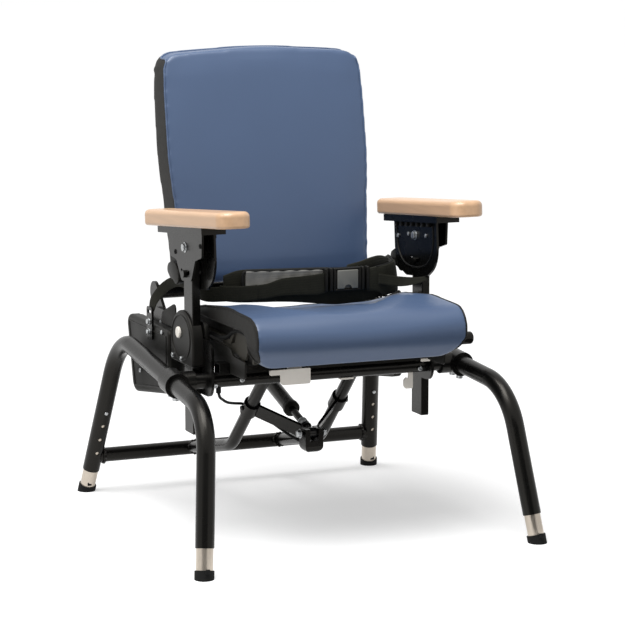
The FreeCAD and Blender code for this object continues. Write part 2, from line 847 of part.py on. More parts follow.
def make_arm_posts():
    corners = [
        (post_front, post_bottom, 2),
        (post_front, arm_pivot_z + post_width / 2, post_width / 2 * 0.999),
        (post_rear, arm_pivot_z + post_width / 2, post_width / 2 * 0.999),
        (post_rear, post_bottom, 2),
    ]
    post = plate(corners, post_inner, post_outer)
    low = arm_pivot_z - post_width
    corner_edges = [edge for edge in post.Edges
                    if abs(edge.tangentAt(edge.FirstParameter).z) > 0.99 and edge.Length > low - post_bottom]
    post = post.makeFillet(post_edge / 2, corner_edges)
    post = post.cut(rod_along_x(arm_pivot.y, arm_pivot.z, 0, socket_outer, arm_bolt_diameter + 2 * pin_fit))
    lock_z = arm_pivot_z - lock_radius
    inner_head = cheek_inner_face - arm_cheek - side_gap
    outer_head = cheek_outer_face + arm_cheek + side_gap
    stud = rod_along_x(arm_pivot.y, lock_z, inner_head, outer_head, lock_diameter)
    heads = [rod_along_x(arm_pivot.y, lock_z, inner_head - arm_bolt_head, inner_head, lock_head_diameter),
             rod_along_x(arm_pivot.y, lock_z, outer_head, outer_head + arm_bolt_head, lock_head_diameter)]
    save_pair("arm_post", post.fuse([stud] + heads).removeSplitter())


def make_arm_brackets():
    y = arm_pivot.y
    z = arm_pivot.z
    under = z + arm_plate_drop
    plate_centre = (post_inner + post_outer) / 2
    top = box(plate_centre - arm_plate_width / 2, plate_centre + arm_plate_width / 2,
              y - arm_plate_front, y + arm_plate_rear, under, under + arm_plate_thickness)
    half = quadrant_half_length
    low = z - quadrant_drop
    foot = quadrant_foot
    quadrant = plate([
        (y - half, under, 0), (y + half, under, 0), (y + half, z - quadrant_shoulder, quadrant_round),
        (y + foot, low, 30), (y - foot, low, 30), (y - half, z - quadrant_shoulder, quadrant_round),
    ], cheek_inner_face - arm_cheek, cheek_inner_face)
    half = shield_half_length
    step = z - shield_step_drop
    tip = z - shield_drop
    foot = shield_foot
    neck = half - shield_step
    shield_corners = [
        (y - half, under, 0), (y + half, under, 0), (y + half - 6, step + 3, 5), (y + neck, step - 3, 6),
        (y + foot, tip, 10), (y - foot, tip, 10), (y - neck, step - 3, 6), (y - half + 6, step + 3, 5),
    ]
    shield = plate(shield_corners, cheek_outer_face, cheek_outer_face + arm_cheek)
    bracket = arm_tilted(top.fuse([quadrant, shield]).removeSplitter())
    bracket = bracket.cut(rod_along_x(y, z, 0, pad_centre_reach + pad_width, arm_bolt_diameter))
    slot_half = lock_diameter / 2 + lock_slot_play
    bracket = bracket.cut(arc_slot(lock_radius, slot_half, lock_slot_angle, 0, pad_centre_reach + pad_width))
    save_pair("arm_bracket", bracket)

    shank = rod_along_x(y, z, cheek_inner_face - arm_cheek, cheek_outer_face + arm_cheek, arm_bolt_diameter)
    nut = rod_along_x(y, z, cheek_inner_face - arm_cheek - arm_bolt_head, cheek_inner_face - arm_cheek,
                      arm_bolt_head_diameter)
    head = rod_along_x(y, z, cheek_outer_face + arm_cheek, cheek_outer_face + arm_cheek + arm_bolt_head,
                       arm_bolt_head_diameter)
    save_pair("arm_pivot_bolt", shank.fuse([nut, head]).removeSplitter())


def make_arm_pads():
    bottom = arm_pivot.z + arm_plate_drop + arm_plate_thickness
    inner = pad_centre_reach - pad_width / 2
    points = [
        Vector(inner, arm_pivot.y - pad_front, bottom),
        Vector(inner + pad_width, arm_pivot.y - pad_front, bottom),
        Vector(inner + pad_width, arm_pivot.y + pad_rear, bottom),
        Vector(inner, arm_pivot.y + pad_rear, bottom),
    ]
    wire = rounded_path(points, [pad_corner] * 4, closed=True)
    pad = Part.Face(wire).extrude(Vector(0, 0, pad_thickness))
    pad = pad.makeFillet(pad_top_edge, edges_at_z(pad, bottom + pad_thickness))
    pad = pad.makeFillet(pad_bottom_edge, edges_at_z(pad, bottom))
    pad.rotate(Vector(pad_centre_reach, arm_pivot.y, bottom), Vector(0, 0, 1), -pad_toe_in)
    save_pair("arm_pad", arm_tilted(pad))


# Seat
seat_inner_front = -seat_lip_reach + seat_lip_thickness
cushion_corners = [
    (seat_rear_reach, seat_top - seat_rear_fall, 4),
    (-seat_crest_reach, seat_crest, 150),
    (-seat_nose_reach, seat_crest - 3, seat_nose_radius),
    (-seat_lip_reach, seat_lip, 5),
    (seat_inner_front, seat_lip, 5),
    (seat_inner_front, seat_under, seat_curl_radius),
    (seat_rear_reach, seat_under, 4),
]


def make_cushion():
    """Cushion with a waterfall front, a deep middle at the rear and raised sides."""
    half = seat_half_width - seat_boxing
    cushion = plate(cushion_corners, -half, half)
    step_top = -seat_well_front_reach - seat_well_step
    well = plate([
        (seat_rear_reach, seat_under, 0), (step_top, seat_under, 0),
        (-seat_well_front_reach, seat_well_under, seat_well_round), (seat_rear_reach, seat_well_under, 4),
    ], -seat_well_half_width, seat_well_half_width)
    cushion = cushion.fuse(well).removeSplitter()
    low_front = Vector(0, -seat_crest_reach, seat_dish_front)
    low_rear = Vector(0, seat_rear_reach, seat_dish_rear)
    rise = Vector(0, 0, seat_dish_radius)
    slope = low_rear - low_front
    dish = rod_between(low_front - slope + rise, low_rear + slope + rise, 2 * seat_dish_radius)
    corner = box(half - seat_lip_corner, half, -seat_nose_reach, seat_inner_front, seat_lip, seat_lip + seat_lip_corner)
    roll = Part.makeCylinder(seat_lip_corner, seat_nose_reach + seat_inner_front,
                             Vector(half - seat_lip_corner, -seat_nose_reach, seat_lip + seat_lip_corner),
                             Vector(0, 1, 0))
    corner = corner.cut(roll)
    cushion = cushion.cut(dish).cut(corner).cut(mirrored(corner))
    save("seat_cushion", cushion)
    side = plate(cushion_corners, half, seat_half_width)
    side = side.cut(box(half, seat_half_width, -seat_nose_reach, seat_inner_front, seat_lip,
                        seat_lip + seat_boxing_trim))
    save_group("seat_boxing", side)


def make_pan():
    """Bent pan under the cushion, with side flanges and two ears for the depth lever."""
    inner = seat_inner_front + pan_thickness
    well_bottom = pan_well_bottom
    rear = seat_rear_reach - 2
    step = -seat_well_front_reach
    lean = pan_thickness / 2
    pan = plate([
        (rear, seat_well_under, 0), (step, seat_well_under, seat_well_round),
        (step - seat_well_step, seat_under, 0), (seat_inner_front, seat_under, seat_curl_radius),
        (seat_inner_front, pan_lip, 0), (inner, pan_lip, 0),
        (inner, pan_bottom, seat_curl_radius - pan_thickness), (step - seat_well_step - lean, pan_bottom, 0),
        (step - lean, well_bottom, seat_well_round), (rear, well_bottom, 0),
    ], -pan_half_width, pan_half_width)
    nose = inner + 26
    throat = step - seat_well_step - 16
    tail = step + 56
    flange = plate([
        (tail, pan_bottom - 31, 3), (throat + 19, pan_bottom - 21, 4), (throat + 6, pan_bottom, 0),
        (nose + 10, pan_bottom, 0), (nose, pan_bottom - 25, 6), (nose + 10, pan_bottom - 43, 8),
        (throat - 18, pan_bottom - 45, 6), (throat + 6, pan_bottom - 37, 4), (tail, pan_bottom - 53, 3),
    ], pan_flange_reach - pan_flange, pan_flange_reach)
    pieces = [flange, mirrored(flange)]
    half_hub = lever_hub_width / 2 + side_gap
    for start in (lever_centre_x - half_hub - lever_ear, lever_centre_x + half_hub):
        corners = [
            (-lever_pin_reach - lever_ear_depth / 2, lever_pin_z - 10, 8),
            (-lever_pin_reach + lever_ear_depth / 2, lever_pin_z - 10, 8),
            (-lever_pin_reach + lever_ear_depth / 2, pan_bottom, 0),
            (-lever_pin_reach - lever_ear_depth / 2, pan_bottom, 0),
        ]
        pieces.append(plate(corners, start, start + lever_ear))
    pan = pan.fuse(pieces).removeSplitter()
    pin = rod_along_x(-lever_pin_reach, lever_pin_z, lever_centre_x - half_hub - lever_ear,
                      lever_centre_x + half_hub + lever_ear, lever_pin_diameter + 2 * pin_fit)
    save("seat_pan", pan.cut(pin))


def make_runners():
    slot = seat_rail_width / 2 + runner_play
    centre = seat_rail_half_spacing
    runner = box(centre - slot - runner_wall, centre + slot + runner_wall,
                 -runner_front, runner_rear, runner_bottom, pan_well_bottom)
    runner = runner.cut(box(centre - slot, centre + slot, -runner_front, runner_rear,
                            runner_bottom, seat_rail_top + runner_play))
    save_group("seat_runners", runner)


def make_depth_lever():
    x0 = lever_centre_x - lever_width / 2
    x1 = lever_centre_x + lever_width / 2
    y0 = -lever_front_reach
    y1 = y0 + lever_thickness
    top = lever_bottom + lever_height
    face_corners = [
        (x0, lever_bottom, 7), (x1, lever_bottom, 3), (x1, top, 2),
        (x0 - lever_tab_length, top, 2), (x0 - lever_tab_length, top - lever_tab_height, 3),
        (x0, top - lever_tab_height, 2),
    ]
    face = front_panel(face_corners, y0, y1)
    pin_y = -lever_pin_reach
    arm_corners = [
        (y0, top, 0), (y0, top - lever_thickness, 0), (pin_y - 4, lever_pin_z - 5, 0),
        (pin_y, lever_pin_z + 4, 0), (pin_y - 5, lever_pin_z + 5, 0),
    ]
    half_hub = lever_hub_width / 2
    arm = plate(arm_corners, lever_centre_x - half_hub, lever_centre_x + half_hub)
    hub = rod_along_x(pin_y, lever_pin_z, lever_centre_x - half_hub, lever_centre_x + half_hub, lever_hub_diameter)
    pin_half = half_hub + side_gap + lever_ear
    pin = rod_along_x(pin_y, lever_pin_z, lever_centre_x - pin_half, lever_centre_x + pin_half, lever_pin_diameter)
    save("seat_depth_lever", face.fuse([arm, hub, pin]).removeSplitter())


# Backrest
back_shoulder = back_top - back_crown_rise


def back_front(z):
    return back_front_y + back_front_lean * (z - back_bottom)


def back_rear(z, offset=0.0):
    return back_rear_y + offset + back_rear_lean * (z - back_bottom)


def back_face(inset, y0, y1):
    """Front outline of the back: crowned top, round corners and sides that bow out a little."""
    bottom = back_bottom + inset
    shoulder = back_shoulder - inset
    top_end = back_top_half_width - inset
    low_end = back_low_half_width - inset
    half = back_half_width - inset
    middle = (bottom + shoulder) / 2
    corners = [
        (-low_end, bottom, back_low_corner), (-half, middle, back_side_radius), (-top_end, shoulder, back_corner),
        (0, back_top - inset, back_crown_radius),
        (top_end, shoulder, back_corner), (half, middle, back_side_radius), (low_end, bottom, back_low_corner),
    ]
    return front_panel(corners, y0, y1)


def make_back():
    front = 0
    rear = back_rear(back_top) + spine_depth
    section = plate([
        (back_front(back_bottom), back_bottom, back_edge), (back_front(back_top), back_top, back_edge),
        (back_rear(back_top), back_top, back_edge), (back_rear(back_bottom), back_bottom, back_edge),
    ], -back_half_width, back_half_width)
    face = back_face(0, front, rear)
    save("back_cushion", section.common(face))

    low = back_bottom + board_inset
    high = back_top - board_inset
    section = plate([
        (back_rear(low), low, 0), (back_rear(high), high, 0),
        (back_rear(high, board_thickness), high, 0), (back_rear(low, board_thickness), low, 0),
    ], -back_half_width, back_half_width)
    face = back_face(board_inset, front, rear)
    save("back_board", section.common(face))

    near = board_thickness
    far = board_thickness + spine_depth
    spine = plate([
        (back_rear(spine_bottom, near), spine_bottom, 0), (back_rear(spine_top, near), spine_top, 0),
        (back_rear(spine_top, far), spine_top, 0), (back_rear(spine_bottom, far), spine_bottom, 0),
    ], -spine_half_width, spine_half_width)
    channel = plate([
        (back_rear(spine_bottom, near + spine_wall), spine_bottom, 0),
        (back_rear(spine_top, near + spine_wall), spine_top, 0),
        (back_rear(spine_top, far), spine_top, 0), (back_rear(spine_bottom, far), spine_bottom, 0),
    ], -spine_half_width + spine_wall, spine_half_width - spine_wall)
    tube_end = plate_inner_reach - side_gap - hinge_plate_thickness
    tube = rod_along_x(back_tube_y, back_tube_z, -tube_end, tube_end, back_tube_diameter)
    spine = spine.cut(channel).cut(tube)
    save("back_spine", max(spine.Solids, key=lambda solid: solid.Volume))
    bore = rod_along_x(back_tube_y, back_tube_z, -tube_end, tube_end, back_tube_diameter - 2 * back_tube_wall)
    save("back_cross_tube", tube.cut(bore))

    pivot = Vector(0, back_pivot_y, back_pivot_z)
    seat = Vector(0, back_tube_y, back_tube_z)
    hinge = capsule(pivot, seat, hinge_plate_half_width, tube_end, tube_end + hinge_plate_thickness)
    bore = rod_along_x(back_pivot_y, back_pivot_z, 0, plate_outer_reach, back_pin_diameter + 2 * pin_fit)
    hinge = hinge.cut(bore)
    save_group("back_hinge_plates", hinge)


# Hip belt
belt_z = seat_top + belt_rise


def ribbon(sections):
    """Strap lofted through sections of (x, y, z, width, thickness), standing on edge."""
    points = [Vector(*section[:3]) for section in sections]
    wires = []
    for index, (x, y, z, width, thickness) in enumerate(sections):
        before = points[max(index - 1, 0)]
        after = points[min(index + 1, len(points) - 1)]
        heading = Vector(after.x - before.x, after.y - before.y, 0).normalize()
        side = Vector(-heading.y, heading.x, 0) * (thickness / 2)
        up = Vector(0, 0, width / 2)
        centre = points[index]
        ring = [centre + side + up, centre - side + up, centre - side - up, centre + side - up]
        wires.append(Part.makePolygon(ring + ring[:1]))
    return Part.makeLoft(wires, True, True)


def make_belt():
    thin = belt_thickness
    padded = belt_pad_thickness
    anchor_x = housing_outer - side_gap - thin / 2
    end_width = belt_width - belt_end_narrowing
    hip_x = plate_inner_reach - belt_hip_inset
    hip_y = belt_y + belt_hip_back
    side_x = plate_inner_reach - belt_side_inset
    side_y = belt_y + belt_side_back
    rear_x = plate_inner_reach + belt_plate_overlap
    rear_y = belt_anchor_y - belt_rear_forward
    drop_x = plate_outer_reach + belt_drop_outward
    drop_y = belt_anchor_y - belt_drop_forward
    drop_z = belt_z - belt_drop
    anchor_z = belt_end_z
    high = belt_z + belt_side_lift
    right = ribbon([
        (buckle_start_x - side_gap, belt_y, belt_z, belt_width, thin),
        (-belt_turn_reach / 2, belt_y, belt_z, belt_width, thin),
        (-belt_turn_reach, belt_y - belt_turn_forward, belt_z, belt_width, thin),
        (-hip_x, hip_y, belt_z, belt_width, thin),
        (-side_x, side_y, high, belt_width, thin),
        (-rear_x, rear_y, belt_z, belt_width, thin),
        (-drop_x, drop_y, drop_z, belt_width, thin),
        (-anchor_x, belt_anchor_y, anchor_z, end_width, thin),
    ])
    save("right_belt_strap", right)
    left = ribbon([
        (buckle_end_x + side_gap, belt_y, belt_z, belt_width, padded),
        (belt_turn_reach, belt_y, belt_z, belt_width, padded),
        (hip_x, hip_y, high, belt_width, padded),
        (side_x, side_y, high, belt_width, padded),
        (rear_x, rear_y, belt_z, belt_width, thin),
        (drop_x, drop_y, drop_z, belt_width, thin),
        (anchor_x, belt_anchor_y, anchor_z, end_width, thin),
    ])
    save("left_belt_strap", left)

    bottom = belt_z - buckle_height / 2
    front = belt_y - buckle_depth / 2
    buckle = box(buckle_start_x, buckle_end_x, front, front + buckle_depth, bottom, bottom + buckle_height)
    buckle = buckle.makeFillet(buckle_round, buckle.Edges)
    middle = (buckle_start_x + buckle_end_x) / 2
    half_width = buckle_button_width / 2
    half_height = buckle_button_height / 2
    pocket = box(middle - half_width, middle + half_width, front, front + buckle_button_depth + buckle_button_travel,
                 belt_z - half_height, belt_z + half_height)
    save("belt_buckle", buckle.cut(pocket))
    play = side_gap
    button = box(middle - half_width + play, middle + half_width - play, front - buckle_button_rise,
                 front + buckle_button_depth - buckle_button_rise,
                 belt_z - half_height + play, belt_z + half_height - play)
    save("belt_buckle_button", button)

    half = belt_anchor_width / 2
    corners = [
        (belt_anchor_y - half, belt_anchor_bottom, 4), (belt_anchor_y + half, belt_anchor_bottom, 4),
        (belt_anchor_y + half, belt_anchor_top, 6), (belt_anchor_y - half, belt_anchor_top, 6),
    ]
    outer = housing_outer + belt_anchor_thickness
    anchor = plate(corners, housing_outer, outer)
    slot_half = belt_anchor_slot_width / 2
    slot_z = belt_anchor_top - 2 * belt_anchor_slot_height
    anchor = anchor.cut(box(housing_outer, outer, belt_anchor_y - slot_half, belt_anchor_y + slot_half,
                            slot_z, slot_z + belt_anchor_slot_height))
    save_group("belt_anchors", anchor)


make_side_frame()
make_leg_extensions()
make_snap_buttons()
make_crossbars()
make_clamps()
make_struts()
make_hub_and_straps()
make_cable()
make_gas_spring()
make_side_plates()
make_seat_frame()
make_spring_bracket()
make_post_sockets()
make_rear_housings()
make_back_pins()
make_tilt_lever()
make_arm_posts()
make_arm_brackets()
make_arm_pads()
make_cushion()
make_pan()
make_runners()
make_depth_lever()
make_back()
make_belt()
print("tilt axis y %.2f z %.2f" % (tilt_y, tilt_z))
print("front leg axis", [round(value, 5) for value in front_leg_up])
print("rear leg axis", [round(value, 5) for value in rear_leg_up])
print("spring length %.2f" % spring_length)
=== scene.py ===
import json
import math

import bpy
from bpy.props import FloatProperty, FloatVectorProperty, PointerProperty
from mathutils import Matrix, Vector


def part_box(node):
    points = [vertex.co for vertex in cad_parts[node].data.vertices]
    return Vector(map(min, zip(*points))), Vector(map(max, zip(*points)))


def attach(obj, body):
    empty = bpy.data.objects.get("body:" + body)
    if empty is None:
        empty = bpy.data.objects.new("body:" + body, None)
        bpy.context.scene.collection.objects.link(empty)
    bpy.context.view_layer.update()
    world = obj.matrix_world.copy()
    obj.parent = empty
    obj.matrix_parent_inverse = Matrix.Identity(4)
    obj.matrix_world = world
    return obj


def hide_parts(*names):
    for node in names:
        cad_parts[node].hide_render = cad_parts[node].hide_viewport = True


bl_info = {
    "name": "Positioning chair",
    "version": (1, 0, 0),
    "blender": (4, 5, 0),
    "location": "View3D > Sidebar > Chair",
    "description": "Dresses the packed frame of a child's positioning chair",
    "category": "Object",
}

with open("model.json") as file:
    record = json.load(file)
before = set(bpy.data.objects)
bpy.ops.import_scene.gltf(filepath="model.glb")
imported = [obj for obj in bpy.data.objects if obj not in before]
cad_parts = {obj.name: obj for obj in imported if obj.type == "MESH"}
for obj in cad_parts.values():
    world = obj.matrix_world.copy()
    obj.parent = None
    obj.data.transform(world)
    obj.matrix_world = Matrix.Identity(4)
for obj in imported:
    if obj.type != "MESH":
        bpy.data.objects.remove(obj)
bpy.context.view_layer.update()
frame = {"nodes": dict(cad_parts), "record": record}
nodes = frame["nodes"]
sides = {"left": 1, "right": -1}


# Stage, in metres and degrees
CAMERA_AZIMUTH = -22.9
CAMERA_ELEVATION = 9.0
CAMERA_TARGET = (0.024, -0.010, 0.372)
CAMERA_SENSOR = 36.0
CAMERA_LENS = 138.24
FLOOR_SIZE = 60
FLOOR_GREY = (0.7, 0.7, 0.7, 1)
FLOOR_GLOW = 0.465
WORLD_LIGHT = 0.3
WORLD_SEEN = 1.0
CARD_BLACK = "#0C0C0C"

# Colours and nodes
WARM_SHINE = (1.0, 0.95, 0.86, 1.0)
BLACK = (0, 0, 0, 1)
WHITE = (1, 1, 1, 1)
FLECK_GREY = (0.16, 0.16, 0.16, 1)
WAVE_TURN = 6.283


def linear(text):
    """Linear colour of an sRGB hex value."""
    shares = [int(text[at:at + 2], 16) / 255 for at in (1, 3, 5)]
    return tuple(s / 12.92 if s <= 0.04045 else ((s + 0.055) / 1.055) ** 2.4 for s in shares) + (1.0,)


def shade(colour, factor):
    """The colour made lighter or darker by a factor."""
    return tuple(min(1.0, part * factor) for part in colour[:3]) + (1.0,)


def assign(thing, **settings):
    """Sets several settings of one thing."""
    for name, value in settings.items():
        setattr(thing, name, value)
    return thing


def plug(tree, socket, value):
    """Links a socket to another one, or sets its value."""
    if isinstance(value, bpy.types.NodeSocket):
        tree.links.new(value, socket)
    else:
        socket.default_value = value


def add(tree, kind, inputs=None, stops=None, **settings):
    """Adds a node with its settings, plugs its inputs, and places a ramp's stops."""
    node = assign(tree.nodes.new(kind), **settings)
    for name, value in (inputs or {}).items():
        plug(tree, node.inputs[name], value)
    for index, (place, colour) in enumerate(stops or ()):
        assign(node.color_ramp.elements[index], position=place, color=colour)
    return node


def new_material(name):
    material = bpy.data.materials.new(name)
    material.use_nodes = True
    return material, material.node_tree


def settle(tree, **sockets):
    """Plugs the sockets of the material's own shader, named with underscores for spaces."""
    shader = tree.nodes["Principled BSDF"]
    for name, value in sockets.items():
        plug(tree, shader.inputs[name.replace("_", " ")], value)


def per_mm(size):
    """Texture scale that gives features of this many millimetres on Object coordinates."""
    return 1000.0 / size


def object_place(tree):
    return add(tree, "ShaderNodeTexCoord").outputs["Object"]


def stretched(tree, place, *scale):
    return add(tree, "ShaderNodeMapping", {"Vector": place, "Scale": scale}).outputs["Vector"]


def noise(tree, place, size, detail, **more):
    """Noise with features of this many millimetres."""
    inputs = {"Vector": place, "Scale": per_mm(size), "Detail": detail, **more}
    return add(tree, "ShaderNodeTexNoise", inputs).outputs["Fac"]


def toned(tree, share, colour, dark, light, low=0.0, high=1.0):
    """Colour between a darker and a lighter shade of itself."""
    stops = ((low, shade(colour, dark)), (high, shade(colour, light)))
    return add(tree, "ShaderNodeValToRGB", {"Fac": share}, stops=stops).outputs["Color"]


def bumped(tree, height, strength, depth):
    inputs = {"Height": height, "Strength": strength, "Distance": depth}
    return add(tree, "ShaderNodeBump", inputs).outputs["Normal"]


def dulled(tree, share, gloss, less, more):
    """Roughness that wanders a little around a value."""
    inputs = {"Value": share, "To Min": gloss - less, "To Max": gloss + more}
    return add(tree, "ShaderNodeMapRange", inputs).outputs["Result"]


def math_node(tree, how, first, second):
    return add(tree, "ShaderNodeMath", {0: first, 1: second}, operation=how).outputs["Value"]


def seen_directly(tree):
    """1 for rays from the camera, by way of a mirror or glass too, and 0 for the rays that light things."""
    path = add(tree, "ShaderNodeLightPath")
    seen = path.outputs["Is Camera Ray"]
    for name in ("Is Glossy Ray", "Is Transmission Ray"):
        seen = math_node(tree, "MAXIMUM", seen, path.outputs[name])
    return seen


# Sizes and colours that a user would change
def colour_choice(name, description, default):
    return FloatVectorProperty(name=name, description=description, subtype="COLOR", size=4, min=0, max=1,
                               default=linear(default))


def length_choice(name, description, default, low, high):
    return FloatProperty(name=name, description=description, unit="LENGTH", min=low, max=high,
                         default=default)


class ChairFinishes(bpy.types.PropertyGroup):
    """Colours of the chair's finishes."""

    powder_black: colour_choice("Powder coat", "Black powder coat of the tubes", "#070707")
    moulded_black: colour_choice("Mouldings", "Black moulded plastic", "#121211")
    vinyl_blue: colour_choice("Blue vinyl", "Upholstery of the seat and back", "#405371")
    vinyl_dark: colour_choice("Dark vinyl", "Sides and rear of the cushions", "#1E1D1B")
    beech: colour_choice("Beech", "Armrest pads", "#C6A17E")
    webbing: colour_choice("Webbing", "Hip belt", "#23231D")


class ChairSizes(bpy.types.PropertyGroup):
    """Sizes of the dressed pieces."""

    voxel: length_choice("Cushion grid", "Grid of the cushions before they are puffed up", 0.005, 0.003, 0.02)
    swell: length_choice("Swell", "How far a cushion's skin may swell", 0.003, 0.0, 0.03)
    welt: length_choice("Welt", "Radius of the sewn welt", 0.0018, 0.0005, 0.01)
    camera_distance: length_choice("Camera distance", "From the camera to its target", 4.285, 1.0, 20.0)


def sizes():
    return bpy.context.scene.chair_sizes


# Finishes
def powder_coated_steel(name, colour, gloss=0.27):
    """Baked powder coat: an even satin black skin with a faint orange peel."""
    material, tree = new_material(name)
    place = object_place(tree)
    peel = noise(tree, place, 1.6, 2.0)
    haze = noise(tree, place, 70, 3.0)
    settle(tree, Base_Color=toned(tree, haze, colour, 0.85, 1.2), Normal=bumped(tree, peel, 0.12, 0.0003),
           Roughness=dulled(tree, haze, gloss, 0.06, 0.06), IOR=1.5, Specular_IOR_Level=0.24,
           Specular_Tint=WARM_SHINE)
    return material


def moulded_abs(name, colour, gloss=0.46):
    """Injection-moulded ABS: a fine spark-eroded grain, drawn at 0.9 mm so that it shows."""
    material, tree = new_material(name)
    place = object_place(tree)
    grain = add(tree, "ShaderNodeTexVoronoi", {"Vector": place, "Scale": per_mm(0.9)}).outputs["Distance"]
    patch = noise(tree, place, 40, 4.0)
    settle(tree, Base_Color=toned(tree, patch, colour, 0.88, 1.15), Normal=bumped(tree, grain, 0.2, 0.0002),
           Roughness=dulled(tree, patch, gloss, 0.05, 0.08), IOR=1.53, Specular_IOR_Level=0.17,
           Specular_Tint=WARM_SHINE)
    return material


def moulded_rubber(name, colour):
    """Moulded natural rubber: dull, with scuffs that pale it here and there."""
    material, tree = new_material(name)
    scuff = noise(tree, object_place(tree), 6, 6.0)
    settle(tree, Base_Color=toned(tree, scuff, colour, 0.8, 1.9), Normal=bumped(tree, scuff, 0.25, 0.0006),
           Roughness=0.78, IOR=1.52, Specular_IOR_Level=0.15)
    return material


def plated_steel(name, colour, gloss, drawn):
    """Plated steel: metal with fine draw lines along the tube, drawn at the given millimetres; in the base
    colour the same lines are also painted reflection streaks.
    """
    material, tree = new_material(name)
    lines = noise(tree, stretched(tree, object_place(tree), 1.0, 1.0, 0.06), drawn, 4.0)
    # The base colour's light and dark lines along the tube are partly real draw lines and partly painted
    # reflection streaks.
    settle(tree, Base_Color=toned(tree, lines, colour, 0.82, 1.12), Normal=bumped(tree, lines, 0.08, 0.0002),
           Roughness=dulled(tree, lines, gloss, 0.06, 0.1), Metallic=1.0)
    return material


def upholstery_vinyl(name, colour, gloss, shine):
    """Calendered vinyl over foam: a pebbled skin of about 1.3 mm and slow shifts of tone."""
    material, tree = new_material(name)
    place = object_place(tree)
    pebble = add(tree, "ShaderNodeTexVoronoi", {"Vector": place, "Scale": per_mm(1.3)}, feature="SMOOTH_F1")
    crease = noise(tree, place, 9, 5.0, Roughness=0.6)
    tone = noise(tree, place, 160, 2.0)
    skin = math_node(tree, "ADD", pebble.outputs["Distance"], crease)
    settle(tree, Base_Color=toned(tree, tone, colour, 0.93, 1.08), Normal=bumped(tree, skin, 0.14, 0.0004),
           Roughness=dulled(tree, crease, gloss, 0.06, 0.1), IOR=1.5, Specular_IOR_Level=shine)
    return material


def lacquered_beech(name, colour):
    """Moulded pad with a beech film: long faint grain and short flecks under satin lacquer."""
    material, tree = new_material(name)
    place = object_place(tree)
    grain = noise(tree, stretched(tree, place, 1.0, 0.05, 1.0), 7, 5.0, Distortion=0.4)
    fleck = noise(tree, stretched(tree, place, 1.0, 0.22, 1.0), 1.6, 1.0)
    band = toned(tree, grain, colour, 0.93, 1.05, 0.3, 0.7)
    stops = ((0.66, BLACK), (0.72, FLECK_GREY))
    dots = add(tree, "ShaderNodeValToRGB", {"Fac": fleck}, stops=stops).outputs["Color"]
    inputs = {0: dots, 6: band, 7: shade(colour, 0.72)}
    tint = add(tree, "ShaderNodeMix", inputs, data_type="RGBA").outputs[2]
    settle(tree, Base_Color=tint, Roughness=0.36, IOR=1.5, Coat_Weight=0.25, Coat_Roughness=0.2)
    return material


def woven_webbing(name, colour):
    """Woven polyester webbing: ribs across the strap every 1.6 mm and warp lines along it."""
    material, tree = new_material(name)
    place = add(tree, "ShaderNodeUVMap", uv_map="UVMap").outputs["UV"]
    threads = []
    for way, size, bend in (("X", 1.6, 0.6), ("Y", 2.2, 0.3)):
        inputs = {"Vector": place, "Scale": per_mm(size) / WAVE_TURN, "Distortion": bend}
        threads.append(add(tree, "ShaderNodeTexWave", inputs, bands_direction=way).outputs["Fac"])
    weave = math_node(tree, "MULTIPLY", *threads)
    fuzz = noise(tree, place, 14, 4.0)
    settle(tree, Base_Color=toned(tree, fuzz, colour, 0.75, 1.35), Normal=bumped(tree, weave, 0.5, 0.0005),
           Roughness=0.78, Specular_IOR_Level=0.1, Sheen_Weight=0.06, Sheen_Roughness=0.4)
    return material


def plain_floor():
    """White studio floor that keeps the shadow; seen directly, it glows a little."""
    material, tree = new_material("studio_floor")
    tree.nodes.remove(tree.nodes["Principled BSDF"])
    matt = add(tree, "ShaderNodeBsdfDiffuse", {"Color": FLOOR_GREY}).outputs["BSDF"]
    glow = add(tree, "ShaderNodeEmission", {"Color": WHITE, "Strength": FLOOR_GLOW}).outputs["Emission"]
    both = add(tree, "ShaderNodeAddShader", {0: matt, 1: glow}).outputs["Shader"]
    mix = add(tree, "ShaderNodeMixShader", {0: seen_directly(tree), 1: matt, 2: both})
    tree.links.new(mix.outputs["Shader"], tree.nodes["Material Output"].inputs["Surface"])
    return material


# Modelling helpers
materials = {}


def mm(*values):
    return tuple(value / 1000 for value in values)


def linked(name, data):
    """New object with this data, in the scene."""
    piece = bpy.data.objects.new(name, data)
    bpy.context.scene.collection.objects.link(piece)
    return piece


def clear_selection():
    if bpy.context.object and bpy.context.object.mode != "OBJECT":
        bpy.ops.object.mode_set(mode="OBJECT")
    bpy.ops.object.select_all(action="DESELECT")


def made(name, primitive, **options):
    """New object from one of Blender's mesh primitives."""
    clear_selection()
    primitive(**options)
    return assign(bpy.context.object, name=name)


def pick(piece):
    clear_selection()
    piece.select_set(True)
    bpy.context.view_layer.objects.active = piece


def edit_all(piece):
    """Goes into edit mode with everything selected."""
    pick(piece)
    bpy.ops.object.mode_set(mode="EDIT")
    bpy.ops.mesh.select_all(action="SELECT")


def apply_all(piece):
    pick(piece)
    for modifier in list(piece.modifiers):
        bpy.ops.object.modifier_apply(modifier=modifier.name)


def fix_place(piece):
    pick(piece)
    bpy.ops.object.transform_apply(location=True, rotation=True, scale=True)


def dress(piece, body, slot, look=None):
    """Gives a piece its body and the finish of its slot, or of a look if one is given."""
    piece.data.materials.clear()
    piece.data.materials.append(materials[look or slot])
    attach(piece, body)


def smooth(piece, degrees=35):
    pick(piece)
    bpy.ops.object.shade_smooth_by_angle(angle=math.radians(degrees))


def block(name, low, high, round_mm=1.0, segments=3):
    """Rounded block between two corners, in metres."""
    low = Vector(low)
    high = Vector(high)
    piece = made(name, bpy.ops.mesh.primitive_cube_add, size=1, location=(low + high) / 2)
    piece.scale = high - low
    fix_place(piece)
    return rounded(piece, round_mm, segments)


